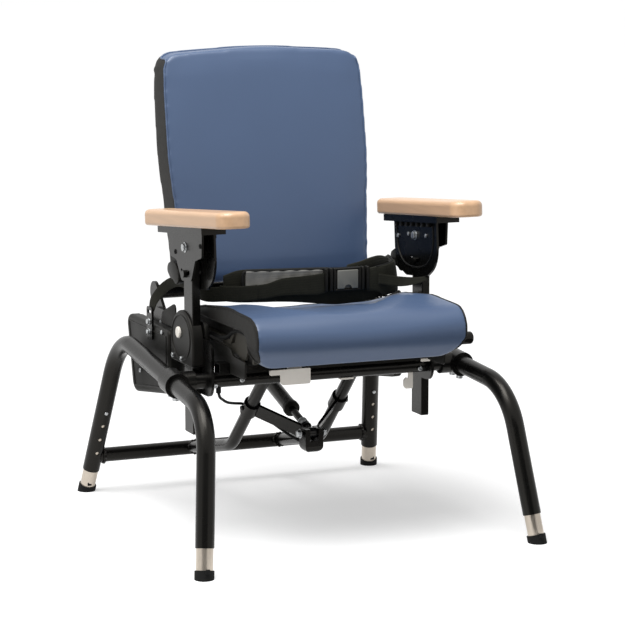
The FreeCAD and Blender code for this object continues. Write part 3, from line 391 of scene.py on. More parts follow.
def turned(name, centre, axis, radius, depth, vertices=32, round_mm=0.6):
    """Short turned piece with a rounded rim, about an axis."""
    piece = made(name, bpy.ops.mesh.primitive_cylinder_add, vertices=vertices, radius=radius, depth=depth)
    rounded(piece, round_mm, 3, 50)
    stand(piece, centre, axis)
    smooth(piece)
    return piece


def stand(piece, centre, axis):
    """Turns a piece made along +Z to an axis and sets it down at a point."""
    piece.rotation_mode = "QUATERNION"
    piece.rotation_quaternion = Vector(axis).to_track_quat("Z", "Y")
    piece.location = centre
    fix_place(piece)


def select_faces(piece, wanted):
    """Goes into edit mode with the wanted faces selected."""
    pick(piece)
    bpy.ops.object.mode_set(mode="EDIT")
    bpy.ops.mesh.select_mode(type="FACE")
    bpy.ops.mesh.select_all(action="DESELECT")
    bpy.ops.object.mode_set(mode="OBJECT")
    for face in piece.data.polygons:
        face.select = wanted(face)
    bpy.ops.object.mode_set(mode="EDIT")


def rounded(piece, round_mm, segments=2, degrees=40):
    """Breaks the sharp edges of a piece."""
    assign(piece.modifiers.new("Round", "BEVEL"), width=round_mm / 1000, segments=segments,
           limit_method="ANGLE", angle_limit=math.radians(degrees))
    apply_all(piece)
    smooth(piece)
    return piece


def head_blank(vertices, radius, height, foot):
    """Plain bolt head along +Z, in edit mode with its top selected."""
    head = made("head", bpy.ops.mesh.primitive_cylinder_add, vertices=vertices, radius=radius, depth=height,
                location=(0, 0, height / 2 + foot))
    fix_place(head)
    select_faces(head, lambda face: face.normal.z > 0.9)
    return head


def hex_head(across, height):
    """Hex bolt head on its washer, along +Z with its seat at the origin."""
    head = head_blank(6, across / math.sqrt(3), height, 0.001)
    bpy.ops.mesh.inset(thickness=across * 0.09)
    bpy.ops.transform.translate(value=(0, 0, height * 0.12))
    bpy.ops.object.mode_set(mode="OBJECT")
    rounded(head, 0.3)
    washer = turned("washer", (0, 0, 0.0006), (0, 0, 1), across * 0.72, 0.0012, 32, 0.3)
    return joined("hex_head", [head, washer])


def socket_head(radius, height):
    """Button-head screw with a hex socket, along +Z with its seat at the origin."""
    head = head_blank(24, radius, height, 0.0)
    bpy.ops.mesh.inset(thickness=radius * 0.28)
    bpy.ops.transform.translate(value=(0, 0, height * 0.3))
    bpy.ops.mesh.inset(thickness=radius * 0.26)
    bpy.ops.mesh.extrude_region_move(TRANSFORM_OT_translate={"value": (0, 0, -height * 0.7)})
    bpy.ops.object.mode_set(mode="OBJECT")
    return rounded(head, 0.2)


def scattered(name, model, places):
    """Copies of a modelled piece at each (centre, axis), joined; the model itself goes."""
    copies = []
    for centre, axis in places:
        copy = linked(name, model.data.copy())
        stand(copy, centre, axis)
        copies.append(copy)
    bpy.data.objects.remove(model)
    return joined(name, copies)


def plate(name, outline, first, second, corner, round_mm, along="x"):
    """Plate between two x with an outline of (y, z), or between two y with one of (x, z), in millimetres."""
    low, high = sorted((first, second))
    piece = made(name, bpy.ops.mesh.primitive_circle_add, vertices=len(outline), fill_type="NGON")
    for vertex, (across, z) in zip(piece.data.vertices, outline):
        vertex.co = mm(low, across, z) if along == "x" else mm(across, low, z)
    edit_all(piece)
    bpy.ops.mesh.bevel(offset=corner / 1000, segments=6, affect="VERTICES", clamp_overlap=True)
    bpy.ops.mesh.select_all(action="SELECT")
    depth = (high - low) / 1000
    move = (depth, 0, 0) if along == "x" else (0, depth, 0)
    bpy.ops.mesh.extrude_region_move(TRANSFORM_OT_translate={"value": move})
    bpy.ops.mesh.select_all(action="SELECT")
    bpy.ops.mesh.normals_make_consistent(inside=False)
    bpy.ops.object.mode_set(mode="OBJECT")
    return rounded(piece, round_mm)


def swept(name, points, radius, closed=False):
    """Round bar of a radius along a smooth line, all in millimetres."""
    clear_selection()
    line = assign(bpy.data.curves.new(name, "CURVE"), dimensions="3D", bevel_depth=radius / 1000,
                  bevel_resolution=3, use_fill_caps=True)
    spline = line.splines.new("NURBS")
    spline.points.add(len(points) - 1)
    for spot, point in zip(spline.points, points):
        spot.co = mm(*point) + (1.0,)
    assign(spline, order_u=3, use_endpoint_u=not closed, use_cyclic_u=closed)
    piece = linked(name, line)
    pick(piece)
    bpy.ops.object.convert(target="MESH")
    bpy.ops.object.shade_smooth()
    return bpy.context.object


def joined(name, pieces):
    """Joins pieces into the first one."""
    if len(pieces) == 1:
        pieces[0].name = name
        return pieces[0]
    clear_selection()
    for piece in pieces:
        piece.select_set(True)
    bpy.context.view_layer.objects.active = pieces[0]
    bpy.ops.object.join()
    pieces[0].name = name
    return pieces[0]


def merged_copy(name, *names):
    """New object with copies of these CAD meshes, doubles merged."""
    clear_selection()
    piece = joined(name, [linked(name, nodes[node].data.copy()) for node in names])
    piece.data.materials.clear()
    edit_all(piece)
    bpy.ops.mesh.remove_doubles(threshold=0.00005)
    bpy.ops.object.mode_set(mode="OBJECT")
    return piece


def bounds_of(piece):
    """Lowest and highest corner of a piece's points."""
    columns = list(zip(*(vertex.co for vertex in piece.data.vertices)))
    return [min(column) for column in columns], [max(column) for column in columns]


def eased(share):
    """Smooth step from 0 to 1."""
    share = min(max(share, 0.0), 1.0)
    return share * share * (3 - 2 * share)


def puffed(piece, held, rounding, shape):
    """Remeshes a solid, shapes it point by point and swells it like a cushion; held points stay."""
    pick(piece)
    piece.data.remesh_voxel_size = sizes().voxel
    bpy.ops.object.voxel_remesh()
    places = [shape(vertex.co, vertex.normal) for vertex in piece.data.vertices]
    for vertex, place in zip(piece.data.vertices, places):
        vertex.co = place
    low, high = bounds_of(piece)
    assign(piece.modifiers.new("Soften", "SMOOTH"), factor=0.5, iterations=rounding)
    apply_all(piece)
    small_low, small_high = bounds_of(piece)
    for vertex in piece.data.vertices:
        for axis in range(3):
            share = (vertex.co[axis] - small_low[axis]) / (small_high[axis] - small_low[axis])
            vertex.co[axis] = low[axis] + share * (high[axis] - low[axis])
    swell(piece, held)
    assign(piece.modifiers.new("Finer", "SUBSURF"), levels=1, render_levels=1)
    apply_all(piece)
    pick(piece)
    bpy.ops.object.shade_smooth()
    return piece


def swell(piece, held):
    """Cloth with pressure and no gravity, stopped early; its moves are capped and evened like a cover's."""
    last_frame = 20
    evening_turns = 30
    stiffness = 15
    pressure = 4.0
    mesh = piece.data
    rest = [vertex.co.copy() for vertex in mesh.vertices]
    group = piece.vertex_groups.new(name="held")
    group.add([v.index for v in mesh.vertices if held(v.co, v.normal)], 1.0, "REPLACE")
    cloth = piece.modifiers.new("Cloth", "CLOTH")
    assign(cloth.settings, quality=5, mass=0.3, tension_stiffness=stiffness, compression_stiffness=stiffness,
           bending_stiffness=1.0, use_pressure=True, uniform_pressure_force=pressure,
           vertex_group_mass="held")
    cloth.settings.effector_weights.gravity = 0
    assign(cloth.collision_settings, use_collision=False, use_self_collision=False)
    assign(cloth.point_cache, frame_start=1, frame_end=last_frame)
    scene = bpy.context.scene
    for step in range(1, last_frame + 1):
        scene.frame_set(step)
    shown = piece.evaluated_get(bpy.context.evaluated_depsgraph_get())
    places = [vertex.co.copy() for vertex in shown.data.vertices]
    pick(piece)
    piece.modifiers.remove(cloth)
    scene.frame_set(1)
    cap = sizes().swell
    moves = []
    for start, end in zip(rest, places):
        move = end - start
        moves.append(move * min(1.0, cap / max(move.length, 1e-9)))
    near = [[] for vertex in mesh.vertices]
    for edge in mesh.edges:
        first, second = edge.vertices
        near[first].append(second)
        near[second].append(first)
    for turn in range(evening_turns):
        moves = [(move + sum((moves[n] for n in found), Vector()) / len(found)) / 2
                 for move, found in zip(moves, near)]
    for vertex, start, move in zip(mesh.vertices, rest, moves):
        vertex.co = start + move
    piece.vertex_groups.clear()


def sewn_welt(name, piece, radius, first, second):
    """Welt along the seam between two of a cushion's materials."""
    clear_selection()
    mesh = piece.data
    edge_faces = {}
    for face in mesh.polygons:
        for key in face.edge_keys:
            edge_faces.setdefault(key, []).append(face.material_index)
    seam = [key for key, found in edge_faces.items() if set(found) == {first, second}]
    used = sorted({index for key in seam for index in key})
    place = {index: at for at, index in enumerate(used)}
    line = bpy.data.meshes.new(name)
    line.from_pydata([mesh.vertices[i].co for i in used], [(place[a], place[b]) for a, b in seam], [])
    welt = linked(name, line)
    assign(welt.modifiers.new("Even", "SMOOTH"), factor=0.5, iterations=24)
    assign(welt.modifiers.new("Hug", "SHRINKWRAP"), target=piece, offset=radius * 0.4,
           wrap_mode="OUTSIDE_SURFACE")
    apply_all(welt)
    pick(welt)
    bpy.ops.object.convert(target="CURVE")
    assign(welt.data, bevel_depth=radius, bevel_resolution=2)
    bpy.ops.object.convert(target="MESH")
    bpy.ops.object.shade_smooth()
    return welt


def curve_between(points, count):
    """Points of a smooth curve through the given ones."""
    ends = [points[0] * 2 - points[1]] + points + [points[-1] * 2 - points[-2]]
    spots = []
    spans = len(points) - 1
    for step in range(count):
        along = step / (count - 1) * spans
        span = min(int(along), spans - 1)
        t = along - span
        a, b, c, d = ends[span:span + 4]
        spots.append(0.5 * (2 * b + (c - a) * t + (2 * a - 5 * b + 4 * c - d) * t * t
                            + (3 * b - a - 3 * c + d) * t ** 3))
    return spots


def strap(name, stations, rows, thickness, columns=7, crown=0.0):
    """Strap through stations of (centre, half width) in millimetres, with its UV map in metres."""
    centres = curve_between([Vector(mm(*centre)) for centre, half in stations], rows)
    halves = curve_between([Vector(mm(*half)) for centre, half in stations], rows)
    piece = made(name, bpy.ops.mesh.primitive_grid_add, x_subdivisions=columns - 1, y_subdivisions=rows - 1,
                 size=1, calc_uvs=True)
    mesh = piece.data
    length = 0.0
    lengths = []
    for row, centre in enumerate(centres):
        if row:
            length += (centre - centres[row - 1]).length
        lengths.append(length)
    metric = {}
    for row in range(rows):
        ahead = centres[min(row + 1, rows - 1)] - centres[max(row - 1, 0)]
        face = ahead.cross(halves[row]).normalized()
        for column in range(columns):
            share = 2 * column / (columns - 1) - 1
            index = row * columns + column
            lift = crown * (1 - share * share)
            mesh.vertices[index].co = centres[row] + halves[row] * share + face * lift
            metric[index] = (lengths[row], halves[row].length * share)
    layer = mesh.uv_layers[0]
    layer.name = "UVMap"
    for loop in mesh.loops:
        layer.data[loop.index].uv = metric[loop.vertex_index]
    assign(piece.modifiers.new("Thick", "SOLIDIFY"), thickness=thickness, offset=0)
    assign(piece.modifiers.new("Edge", "BEVEL"), width=thickness * 0.3, segments=2, limit_method="ANGLE")
    apply_all(piece)
    smooth(piece, 40)
    return piece


class ChairOperator(bpy.types.Operator):
    """Shared settings of the chair's operators."""

    bl_options = {"REGISTER", "UNDO"}


class CHAIR_OT_stage(ChairOperator):
    """Floor, soft studio light and the camera at the photograph's angle"""

    bl_idname = "chair.stage"
    bl_label = "Stage"

    def execute(self, context):
        scene = context.scene
        scene.view_settings.view_transform = "Standard"
        floor = made("floor", bpy.ops.mesh.primitive_plane_add, size=FLOOR_SIZE)
        floor.data.materials.append(plain_floor())
        self.light_world(scene)
        self.add_light("key_light", "SUN", place=(-0.75, -0.1, 1.3), target=(0, 0, 0), energy=1.75,
                       angle=math.radians(50))
        self.add_light("top_softbox", "AREA", place=(-0.35, -0.5, 2.2), target=(0, 0, 0.4), energy=38,
                       shape="SQUARE", size=1.3)
        self.add_card("dark_card", place=(-2.5, -5.8, 1.2), size=(8.0, 2.4, 1.0),
                      turn=(90, 0, CAMERA_AZIMUTH))
        self.add_card("floor_card", place=(0.62, -1.5, 0.02), size=(1.5, 2.3, 1.0), turn=(0, 0, 23))
        self.add_camera(scene)
        return {"FINISHED"}

    def add_card(self, name, place, size, turn):
        """Dark card that is only seen where the chair's front reflects it."""
        card = made(name, bpy.ops.mesh.primitive_plane_add, size=1, location=place)
        assign(card, scale=size, visible_camera=False, visible_shadow=False, visible_diffuse=False,
               rotation_euler=[math.radians(angle) for angle in turn])
        material, tree = new_material(name)
        settle(tree, Base_Color=linear(CARD_BLACK))
        card.data.materials.append(material)

    def light_world(self, scene):
        world = bpy.data.worlds.new("studio")
        scene.world = world
        world.use_nodes = True
        tree = world.node_tree
        inputs = {"Value": seen_directly(tree), "To Min": WORLD_LIGHT, "To Max": WORLD_SEEN}
        strength = add(tree, "ShaderNodeMapRange", inputs).outputs["Result"]
        plug(tree, tree.nodes["Background"].inputs["Strength"], strength)
        plug(tree, tree.nodes["Background"].inputs["Color"], WHITE)

    def add_light(self, name, kind, place, target, **settings):
        holder = linked(name, assign(bpy.data.lights.new(name, kind), **settings))
        holder.location = place
        holder.rotation_euler = (Vector(target) - Vector(place)).to_track_quat("-Z", "Y").to_euler()

    def add_camera(self, scene):
        azimuth = math.radians(CAMERA_AZIMUTH)
        elevation = math.radians(CAMERA_ELEVATION)
        back = Vector((math.sin(azimuth) * math.cos(elevation), -math.cos(azimuth) * math.cos(elevation),
                       math.sin(elevation)))
        lens = bpy.data.cameras.new("photo_camera")
        camera = linked("photo_camera", assign(lens, sensor_width=CAMERA_SENSOR, lens=CAMERA_LENS))
        camera.location = Vector(CAMERA_TARGET) + back * sizes().camera_distance
        camera.rotation_euler = (-back).to_track_quat("-Z", "Y").to_euler()
        scene.camera = camera


class CHAIR_OT_finishes(ChairOperator):
    """Procedural finishes, given to every CAD node that stays in view"""

    bl_idname = "chair.finishes"
    bl_label = "Finishes"

    def execute(self, context):
        chosen = context.scene.chair_finishes
        materials.update(
            black_powder_coat=powder_coated_steel("powder_coated_steel", tuple(chosen.powder_black)),
            pan_steel=powder_coated_steel("pan_steel", linear("#36342F"), 0.5),
            grey_steel=powder_coated_steel("grey_pressed_steel", linear("#3A3831"), 0.5),
            black_moulding=moulded_abs("moulded_abs", tuple(chosen.moulded_black)),
            white_plastic=moulded_abs("white_acetal", linear("#F2EBE2"), 0.4),
            grey_plastic=moulded_abs("grey_acetal", linear("#6E6E69"), 0.42),
            black_rubber=moulded_rubber("moulded_rubber", linear("#121212")),
            cable_sheath=moulded_rubber("cable_sheath", linear("#151515")),
            silver_tube=plated_steel("satin_nickel_tube", linear("#BDB3A6"), 0.3, 1.2),
            zinc_steel=plated_steel("zinc_plated_steel", linear("#B4B6B7"), 0.34, 2.5),
            black_rod=powder_coated_steel("nitrided_rod", linear("#17181A"), 0.22),
            blue_vinyl=upholstery_vinyl("blue_vinyl", tuple(chosen.vinyl_blue), 0.4, 0.58),
            dark_vinyl=upholstery_vinyl("dark_vinyl", tuple(chosen.vinyl_dark), 0.55, 0.15),
            beech_look=lacquered_beech("lacquered_beech", tuple(chosen.beech)),
            belt_webbing=woven_webbing("woven_webbing", tuple(chosen.webbing)),
            grey_felt=woven_webbing("grey_lining", linear("#7D7C78")),
        )
        for part in frame["record"]["subparts"]:
            node = nodes[part["node"]]
            node.data.materials.clear()
            node.data.materials.append(materials[part["material_slot"]])
        return {"FINISHED"}


class CHAIR_OT_back_cushion(ChairOperator):
    """Padded back: blue front, dark sides and rear, and a sewn welt"""

    bl_idname = "chair.back_cushion"
    bl_label = "Back cushion"

    def execute(self, context):
        low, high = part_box("back_cushion")
        piece = merged_copy("padded_back", "back_cushion")
        puffed(piece, lambda place, normal: normal.y > -0.5, 6, self.fuller)
        dress(piece, "backrest", "blue_vinyl")
        piece.data.materials.append(materials["dark_vinyl"])
        for face in piece.data.polygons:
            front = face.normal.y < -0.55
            top = face.normal.z > 0.2 and face.center.y < high.y - 0.004 and abs(face.normal.x) < 0.75
            face.material_index = 0 if front or top else 1
        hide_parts("back_cushion")
        dress(sewn_welt("back_welt", piece, sizes().welt, 0, 1), "backrest", "blue_vinyl")
        return {"FINISHED"}

    def fuller(self, place, normal):
        """Fuller at mid height and slimmer below; towards the top the rim reaches back round the board."""
        fullest = 0.018
        slimmest = 0.012
        reach = 0.018
        waist = 0.56
        top = 0.84
        wide = fullest * eased((place.z - waist) / 0.10) * eased((top - place.z) / 0.10)
        slim = slimmest * eased((waist - place.z) / 0.08)
        at_rim = abs(place.x) > 0.170 and normal.y > 0.4
        rim = reach * eased((place.z - 0.46) / 0.36) if at_rim else 0.0
        return Vector((place.x * (1 + wide - slim), place.y + rim, place.z))


class CHAIR_OT_seat_cushion(ChairOperator):
    """Padded seat with a waterfall front, dark boxing on its sides and a sewn welt"""

    bl_idname = "chair.seat_cushion"
    bl_label = "Seat cushion"

    def execute(self, context):
        piece = merged_copy("padded_seat", "seat_cushion", "seat_boxing")
        puffed(piece, self.held, 6, self.sat_in)
        dress(piece, "seat_carriage", "blue_vinyl")
        piece.data.materials.append(materials["dark_vinyl"])
        for face in piece.data.polygons:
            side = abs(face.normal.x) > 0.72
            front = face.center.y < -0.240
            under = (face.normal.z < -0.4 or face.normal.y > 0.5) and not front
            face.material_index = 1 if side or under else 0
        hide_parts("seat_cushion", "seat_boxing")
        dress(sewn_welt("seat_welt", piece, sizes().welt, 0, 1), "seat_carriage", "dark_vinyl")
        nodes["seat_pan"].data.materials[0] = materials["pan_steel"]
        for name, side in reversed(sides.items()):
            self.pan_edge(name, side)
        return {"FINISHED"}

    def held(self, place, normal):
        return (normal.z < 0.3 and normal.y > -0.3) or abs(normal.x) > 0.6

    def sat_in(self, place, normal):
        """Keeps the top under a broad hollow that falls to the rear; its sides rise towards the front."""
        hollow_height = 0.379
        rear_fall = 0.122
        highest_side = 0.021
        highest_front = 0.020
        hollow = hollow_height - rear_fall * place.y
        side_start = 0.120 - 0.045 * eased((-0.030 - place.y) / 0.110)
        side_rise = highest_side * eased((0.110 - place.y) / 0.170)
        share = eased((abs(place.x) - side_start) / 0.075)
        front_roll = highest_front * eased((-0.130 - place.y) / 0.110)
        return Vector((place.x, place.y, min(place.z, hollow + side_rise * share + front_roll)))

    def pan_edge(self, name, side):
        line = [(-236, 371), (-206, 377), (-156, 377), (-112, 353), (-60, 352), (60, 352)]
        trim = swept(name + "_pan_trim", [(side * 180, y, z) for y, z in line], 3.6)
        dress(trim, "seat_carriage", "black_rubber")
        outline = [(-236, 350), (-75, 350), (-75, 322), (-200, 322), (-236, 328)]
        skirt = plate(name + "_pan_skirt", outline, side * 174.0, side * 171.5, 4.0, 0.5)
        dress(skirt, "seat_carriage", "black_moulding")


class CHAIR_OT_hip_belt(ChairOperator):
    """Hip belt: webbing on one side, a padded strap on the other, and the pad behind the webbing"""

    bl_idname = "chair.hip_belt"
    bl_label = "Hip belt"

    def execute(self, context):
        low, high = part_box("belt_buckle")
        start = low.x * 1000
        end = high.x * 1000
        middle = (low.z + high.z) * 500
        self.webbing(start, middle)
        self.padded_strap(end, middle)
        self.lining(start, middle)
        self.under_pad(middle)
        for name, side in reversed(sides.items()):
            self.flap(name, side)
        return {"FINISHED"}

    def flap(self, name, side):
        """Stiff vinyl flap that keeps the belt's end off the housing."""
        outline = [(34, 352), (34, 390), (42, 395), (104, 373), (112, 352)]
        piece = plate(name + "_belt_flap", outline, side * 220.0, side * 217.4, 5.0, 0.6)
        dress(piece, "seat_unit", "dark_vinyl")

    def webbing(self, start, middle):
        stations = [
            ((start + 3, -46, middle - 5), (0, 0, 18)), ((start - 18, -48, middle - 7), (0, 0, 18)),
            ((-18, -49, middle - 7), (0, 0, 16.5)), ((-52, -50, middle - 7.5), (0, 0, 15)),
            ((-82, -51, middle - 13), (0, 0, 13)), ((-112, -51, middle - 14), (0, 0, 12.8)),
            ((-155, -49, middle - 14), (0, 0, 13)),
            ((-186, -26, middle - 15), (0, 2, 13)), ((-197, 20, middle - 10), (-4, 2, 12)),
            ((-205, 62, middle - 4), (-5, 3, 9)), ((-213, 104, middle - 18), (-5, 6, 6)),
            ((-224, 132, middle - 44), (-3, 9, 4)), ((-227.6, 140, 372), (0, 12, 3)),
        ]
        belt = strap("right_webbing", stations, 120, 0.0016)
        dress(belt, "seat_unit", "belt_webbing")
        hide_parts("right_belt_strap")
        stations = [
            ((-100, -55, middle - 13), (0, 0, 13.4)), ((-108, -53.6, middle - 14), (0, 0, 13.4)),
            ((-140, -53, middle - 14), (0, 0, 13.4)), ((-166, -45, middle - 12), (0, 0, 13.4)),
        ]
        dress(strap("webbing_tail", stations, 24, 0.0016), "seat_unit", "belt_webbing")

    def padded_strap(self, end, middle):
        stations = [
            ((end - 4, -46, middle - 4), (0, 0, 20)), ((end + 14, -47, middle - 3), (0, 0, 22)),
            ((end + 34, -44, middle - 6), (0, 0, 27)), ((176, -28, middle - 3), (-2, 2, 27)),
            ((190, 10, middle - 3), (-2, 3, 26)), ((200, 48, middle + 3), (-1, 3, 21)),
            ((209, 84, middle - 6), (0, 6, 15)), ((219, 116, middle - 28), (0, 10, 11)),
            ((227.6, 140, 372), (0, 13, 3)),
        ]
        belt = strap("left_padded_strap", stations, 100, 0.0065, 9, 0.0014)
        dress(belt, "seat_unit", "belt_webbing")
        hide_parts("left_belt_strap")
        edge = [(c[0] + h[0], c[1] + h[1] - 2, c[2] + h[2]) for c, h in stations[1:6]]
        dress(swept("strap_binding", edge, 1.7), "seat_unit", "belt_webbing", "black_rubber")
        inner = [
            ((end - 36, -33, middle + 12), (0, 0, 11)), ((end - 8, -26, middle + 15), (0, 0, 12)),
            ((end + 24, -4, middle + 18), (0, 1, 12)), ((end + 52, 20, middle + 17), (0, 2, 11)),
            ((196, 44, middle + 10), (0, 2, 9)),
        ]
        roll = strap("left_belt_pad", inner, 50, 0.008, 9, 0.002)
        dress(roll, "seat_unit", "belt_webbing")
        loop = [
            ((end + 16, -55, middle - 2), (0, 0, 9)), ((170, -62, middle - 8), (0, 1, 9)),
            ((194, -78, middle - 6), (0, 2, 6)), ((211, -98, middle + 1), (0, 1, 3)),
        ]
        dress(strap("adjuster_tail", loop, 40, 0.0018), "seat_unit", "belt_webbing")

    def lining(self, start, middle):
        stations = [
            ((start + 6, -38.5, middle + 5), (0, 0, 13)), ((-20, -39.5, middle + 6), (0, 0, 14)),
            ((-70, -40, middle + 6), (0, 0, 15)), ((-116, -40, middle + 6), (0, 0, 17)),
        ]
        pad = strap("right_belt_pad", stations, 90, 0.007, 11, 0.0012)
        for vertex in pad.data.vertices:
            vertex.co.y += 0.0009 * math.sin(vertex.co.x * 2 * math.pi / 0.026)
        dress(pad, "seat_unit", "belt_webbing", "grey_felt")
        upper = [(c[0], c[1], c[2] + h[2]) for c, h in stations]
        lower = [(c[0], c[1] - 1, c[2] - h[2]) for c, h in reversed(stations)]
        side = [(-121, -40, middle + 18), (-122, -41, middle + 6), (-121, -41, middle - 8)]
        dress(swept("pad_binding", upper + side + lower, 2.6), "seat_unit", "belt_webbing", "black_rubber")

    def under_pad(self, middle):
        """Black pad that hangs behind the webbing and the buckle, down to the seat."""
        stations = []
        for x, below, above in ((-154, 29, 16), (-124, 33, 24), (-80, 35, 24), (-51, 36, 23), (-13, 39, 22),
                                (45, 46, 20), (74, 47, 15), (118, 44, 6), (150, 37, 2)):
            stations.append(((x, -31, middle + (above - below) / 2), (0, 0, (above + below) / 2)))
        pad = strap("buckle_pad", stations, 90, 0.005, 9, 0.001)
        dress(pad, "seat_unit", "belt_webbing")


class CHAIR_OT_buckle(ChairOperator):
    """Side-release buckle with ribbed ends, and its notched release panel"""

    bl_idname = "chair.buckle"
    bl_label = "Belt buckle"

    def execute(self, context):
        low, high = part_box("belt_buckle")
        panel_low, panel_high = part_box("belt_buckle_button")
        rib_width = 0.006
        rim_height = 0.0035
        rim_inset = 0.02
        rear_low = (low.x, low.y + 0.0135, low.z + 0.002)
        pieces = [block("buckle_body", rear_low, (high.x, high.y, high.z - 0.002), 3.0, 4)]
        for from_end in (0.0, 0.0095, 0.0165):
            for first, way in ((low.x, 1), (high.x, -1)):
                start, end = sorted((first + way * from_end, first + way * (from_end + rib_width)))
                rib_low = (start, low.y + 0.0015, low.z)
                pieces.append(block("rib", rib_low, (end, high.y - 0.002, high.z), 2.2))
        for z in (low.z + 0.0005, high.z - 0.004):
            rim_low = (low.x + rim_inset, low.y + 0.001, z)
            pieces.append(block("rim", rim_low, (high.x - rim_inset, high.y - 0.003, z + rim_height), 1.4))
        body = joined("buckle", pieces)
        dress(body, "seat_unit", "black_moulding")
        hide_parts("belt_buckle")
        panel = block("buckle_panel", panel_low, panel_high, 1.6)
        centre = ((panel_low.x + panel_high.x) / 2, low.y, panel_low.z)
        notch = turned("notch", centre, (0, 1, 0), 0.0075, 0.012)
        assign(panel.modifiers.new("Notch", "BOOLEAN"), object=notch, operation="DIFFERENCE")
        apply_all(panel)
        bpy.data.objects.remove(notch)
        smooth(panel)
        dress(panel, "buckle_button", "grey_plastic")
        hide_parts("belt_buckle_button")
        return {"FINISHED"}


arm_pivot_y = -50.0
arm_pivot_z = 507.0
arm_tilt = math.radians(5.0)


def on_arm(side, x, y, z):
    """Point of an armrest in metres, from millimetres about its pivot; the front is 5 degrees up."""
    along = y * math.cos(arm_tilt) + z * math.sin(arm_tilt)
    height = z * math.cos(arm_tilt) - y * math.sin(arm_tilt)
    return mm(side * x, arm_pivot_y + along, arm_pivot_z + height)


class CHAIR_OT_armrests(ChairOperator):
    """Armrest hardware: rim, screws and ribs of the inner cheek, hex pivot bolt, set screws and knob"""

    bl_idname = "chair.armrests"
    bl_label = "Armrest hardware"

    def execute(self, context):
        for name, side in sides.items():
            self.inner_cheek(name, side)
            self.pivot(name, side)
            self.knob(name, side)
        return {"FINISHED"}

    def inner_cheek(self, name, side):
        line = [(-75, 17), (-75, 17), (75, 17), (75, 17), (75, -18), (60, -44), (30, -57), (-30, -57),
                (-60, -44), (-75, -18)]
        spots = [tuple(1000 * part for part in on_arm(side, 206.2, y, z)) for y, z in line]
        dress(swept(name + "_cheek_rim", spots, 1.5, closed=True), name + "_arm_rest", "black_moulding")
        inward = (-side, 0, 0)
        places = [(on_arm(side, 206.5, y, z), inward) for y, z in ((-46, 0), (70, -2), (26, 2))]
        screws = scattered(name + "_cheek_screws", socket_head(0.0038, 0.002), places)
        dress(screws, name + "_arm_rest", "zinc_steel")
        ribs = []
        for y in range(-66, 67, 22):
            rib = block("rib", mm(-4, -4, -4), mm(4, 4, 4), 1.0)
            rib.rotation_euler.x = -arm_tilt
            rib.location = on_arm(side, 202.4, y, 20)
            fix_place(rib)
            ribs.append(rib)
        dress(joined(name + "_plate_ribs", ribs), name + "_arm_rest", "black_moulding")

    def pivot(self, name, side):
        places = [(on_arm(side, 231, 0, 0), (side, 0, 0)), (on_arm(side, 206.5, 0, 0), (-side, 0, 0))]
        bolt = scattered(name + "_pivot_bolt", hex_head(0.0125, 0.0042), places)
        dress(bolt, name + "_arm_rest", "zinc_steel")
        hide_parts(name + "_arm_pivot_bolt")
        places = [(on_arm(side, 231, y, z), (side, 0, 0)) for y, z in ((50, -9), (-76, 4))]
        screws = scattered(name + "_set_screws", socket_head(0.0042, 0.0012), places)
        dress(screws, name + "_arm_rest", "black_rubber")

    def knob(self, name, side):
        line = [(120, -46), (117, -33), (97, -26), (72, -32), (60, -48), (62, -62), (78, -69), (90, -60),
                (106, -58)]
        outline = [tuple(1000 * part for part in on_arm(side, 0, y, z)[1:]) for y, z in line]
        knob = plate(name + "_angle_knob", outline, side * 210.4, side * 224, 5.0, 2.5)
        dress(knob, name + "_arm_rest", "black_moulding")


class CHAIR_OT_side_hardware(ChairOperator):
    """Rims, bolts and covers on the seat unit's sides"""

    bl_idname = "chair.side_hardware"
    bl_label = "Side hardware"

    def execute(self, context):
        for name, side in sides.items():
            self.rims(name, side)
            self.bolts(name, side)
            self.covers(name, side)
        return {"FINISHED"}

    def rims(self, name, side):
        disc = []
        for step in range(16):
            turn = 2 * math.pi * step / 16
            disc.append((side * 231, -26 + 47 * math.cos(turn), 346 + 40 * math.sin(turn)))
        dress(swept(name + "_socket_rim", disc, 1.6, closed=True), "seat_unit", "black_moulding")
        corners = [(58, 242), (58, 242), (232, 218), (232, 218), (262, 334), (262, 334), (58, 334), (58, 334)]
        bead = swept(name + "_housing_bead", [(side * 229, y, z) for y, z in corners], 1.4, closed=True)
        dress(bead, "seat_unit", "black_moulding")

    def bolts(self, name, side):
        out = (side, 0, 0)
        anchor = [(mm(side * 233, 138, z), out) for z in (350, 331)]
        dress(scattered(name + "_anchor_bolts", hex_head(0.009, 0.0035), anchor), "seat_unit", "zinc_steel")
        rows = ((229, 78, 339), (231, -28, 309), (231, 16, 309), (229, 200, 250))
        spots = [(mm(side * x, y, z), out) for x, y, z in rows]
        screws = scattered(name + "_side_screws", socket_head(0.0042, 0.0024), spots)
        dress(screws, "seat_unit", "zinc_steel")

    def covers(self, name, side):
        line = [(-78, 300), (-78, 368), (-66, 379), (6, 379), (20, 364), (20, 300)]
        inner = plate(name + "_socket_back", line, side * 197, side * 206, 9.0, 3.0)
        dress(inner, "seat_unit", "black_moulding")
        line = [(-216, 300), (-220, 330), (-160, 333), (-148, 344), (16, 349), (16, 299)]
        skirt = plate(name + "_rail_skirt", line, side * 183.5, side * 187.5, 5.0, 1.2)
        dress(skirt, "seat_unit", "black_moulding")


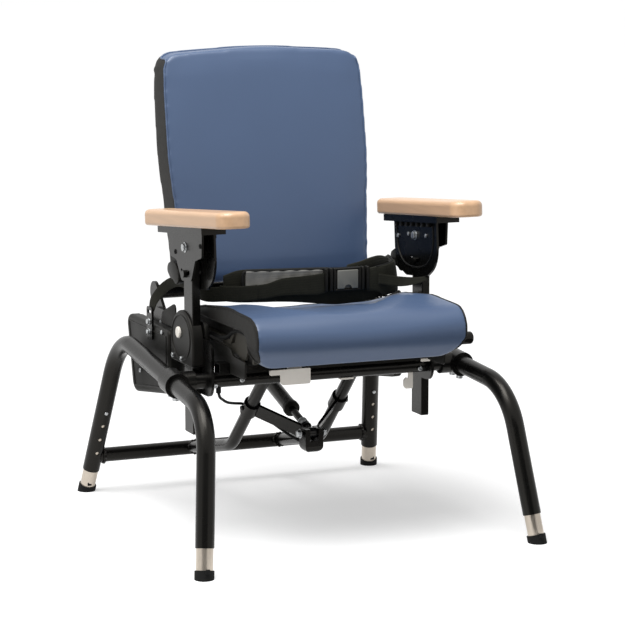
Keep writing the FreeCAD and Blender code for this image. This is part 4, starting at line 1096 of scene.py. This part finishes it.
class CHAIR_OT_undercarriage(ChairOperator):
    """Hardware under the seat: spring fittings, hub bolt, weld beads, hooks and tabs"""

    bl_idname = "chair.undercarriage"
    bl_label = "Undercarriage"

    def execute(self, context):
        self.spring()
        self.bolts()
        self.welds()
        self.fittings()
        return {"FINISHED"}

    def spring(self):
        foot = Vector(mm(0, -61, 165))
        along = (Vector(mm(0, 165, 231.7)) - foot).normalized()
        rows = ((97, 15, 9), (104, 14, 3), (210, 14.2, 6))
        collars = self.rings("cylinder_collars", foot, along, 0.8, rows)
        dress(collars, "gas_spring_cylinder", "black_moulding")
        nut = scattered("rod_locknut", hex_head(0.013, 0.008), [(foot + along * 0.021, along)])
        dress(nut, "gas_spring_rod", "black_rod")
        # The release head's rings are bright zinc on an otherwise black rod: their colour paints the rod's
        # glints of light.
        head = self.rings("rod_release_head_painted_glints", foot, along, 0.6, ((31, 9, 4), (36.5, 8, 4), (42, 9, 4)))
        dress(head, "gas_spring_rod", "zinc_steel")

    def rings(self, name, foot, along, round_mm, rows):
        """Rings on the spring, each with its place along it, its radius and its depth in millimetres."""
        rings = [turned("ring", foot + along * at / 1000, along, radius / 1000, depth / 1000, 40, round_mm)
                 for at, radius, depth in rows]
        return joined(name, rings)

    def bolts(self):
        hub = scattered("hub_pin_heads", hex_head(0.012, 0.005),
                        [(mm(-21, -61, 165), (-1, 0, 0)), (mm(21, -61, 165), (1, 0, 0))])
        dress(hub, "base", "zinc_steel")
        places = [(mm(side * 100.4, 17, 203), (side, 0, 0)) for side in sides.values()]
        dress(scattered("collar_screws", socket_head(0.0045, 0.003), places), "base", "black_rod")
        places = [(mm(190, -108, 276), (0, -1, -0.2)), (mm(-199, -107.5, 273), (0, -1, -0.3)),
                  (mm(-150, -108.5, 280), (0, -1, 0))]
        dress(scattered("crossbar_screws", socket_head(0.0045, 0.003), places), "base", "zinc_steel")

    def welds(self):
        bead_radius = 0.0024
        steps_round = 10
        ripple_depth = 0.05
        ripple_steps = 6
        flattening = 1.25
        beads = []
        for side in sides.values():
            for centre, axis, radius in ((mm(side * 266, 317.2, 71), (1, 0, 0), 14.2),
                                         (mm(side * 87, 302, 74.5), (0, 0.98, -0.2), 12.2),
                                         (mm(side * 83.5, -80, 278.8), (0, 1, 0), 12.0)):
                bead = made("bead", bpy.ops.mesh.primitive_torus_add, major_radius=radius / 1000,
                            minor_radius=bead_radius, major_segments=72, minor_segments=steps_round)
                for index, vertex in enumerate(bead.data.vertices):
                    ripple = 1 + ripple_depth * math.sin(index // steps_round * 2 * math.pi / ripple_steps)
                    vertex.co = (vertex.co.x * ripple, vertex.co.y * ripple, vertex.co.z * flattening)
                stand(bead, centre, axis)
                bpy.ops.object.shade_smooth()
                beads.append(bead)
        dress(joined("weld_beads", beads), "base", "black_powder_coat")

    def fittings(self):
        line = [(173, 270), (182, 270), (182, 238), (168, 238), (164, 243), (164, 254), (169, 259),
                (173, 256)]
        dress(plate("cable_hook", line, -97, -93.5, 1.5, 0.6, "y"), "base", "white_plastic")
        clips = [block("clip", mm(38, -104, 264.5), mm(64, -92, 268.5), 1.6),
                 block("clip", mm(-210, -104, 262), mm(-202, -94, 268), 1.4)]
        dress(joined("crossbar_clips", clips), "base", "white_plastic")
        tab = block("rail_tab", mm(171, -153.5, 296), mm(189, -149.5, 302), 1.4)
        dress(tab, "seat_unit", "white_plastic")


class CHAIR_OT_rear_details(ChairOperator):
    """Screws in the back board, bolts through the spine and ears on the feet"""

    bl_idname = "chair.rear_details"
    bl_label = "Rear details"

    def execute(self, context):
        away = Vector((0, 1, -0.1)).normalized()
        lean = 0.101
        foot_z = 420
        board_y = 181
        spine_y = 199
        places = [(mm(x, board_y + lean * (z - foot_z), z), away)
                  for x in (-150, 150) for z in (480, 630, 780)]
        dress(scattered("board_screws", socket_head(0.0048, 0.0024), places), "backrest", "black_rod")
        places = [(mm(x, spine_y + lean * (z - foot_z), z), away)
                  for x in (-22, 22) for z in (470, 600, 735)]
        dress(scattered("spine_bolts", hex_head(0.011, 0.0045), places), "backrest", "zinc_steel")
        for name in sides:
            for end in ("front", "rear"):
                self.ear(name + "_" + end)
        return {"FINISHED"}

    def ear(self, leg):
        low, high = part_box(leg + "_foot")
        middle = (low + high) / 2
        ear = block(leg + "_foot_ear", (middle.x - 0.004, low.y - 0.0002, high.z - 0.006),
                    (middle.x + 0.004, low.y + 0.003, high.z + 0.002), 1.2)
        dress(ear, leg + "_leg", "black_rubber")


class CHAIR_PT_sidebar(bpy.types.Panel):
    """Lists the chair's operators and settings"""

    bl_label = "Positioning chair"
    bl_idname = "CHAIR_PT_sidebar"
    bl_space_type = "VIEW_3D"
    bl_region_type = "UI"
    bl_category = "Chair"

    def draw(self, context):
        for kind in operators:
            self.layout.operator(kind.bl_idname)
        for group in (context.scene.chair_finishes, context.scene.chair_sizes):
            for name in group.bl_rna.properties.keys():
                if name not in ("rna_type", "name"):
                    self.layout.prop(group, name)


operators = [
    CHAIR_OT_stage, CHAIR_OT_finishes, CHAIR_OT_back_cushion, CHAIR_OT_seat_cushion, CHAIR_OT_hip_belt,
    CHAIR_OT_buckle, CHAIR_OT_armrests, CHAIR_OT_side_hardware, CHAIR_OT_undercarriage, CHAIR_OT_rear_details,
]
classes = [ChairFinishes, ChairSizes] + operators + [CHAIR_PT_sidebar]


def register():
    for kind in classes:
        bpy.utils.register_class(kind)
    bpy.types.Scene.chair_finishes = PointerProperty(type=ChairFinishes)
    bpy.types.Scene.chair_sizes = PointerProperty(type=ChairSizes)


def unregister():
    del bpy.types.Scene.chair_sizes
    del bpy.types.Scene.chair_finishes
    for kind in reversed(classes):
        bpy.utils.unregister_class(kind)


def main():
    register()
    bpy.ops.chair.stage()
    bpy.ops.chair.finishes()
    bpy.ops.chair.back_cushion()
    bpy.ops.chair.seat_cushion()
    bpy.ops.chair.hip_belt()
    bpy.ops.chair.buckle()
    bpy.ops.chair.armrests()
    bpy.ops.chair.side_hardware()
    bpy.ops.chair.undercarriage()
    bpy.ops.chair.rear_details()


if __name__ == "__main__":
    main()
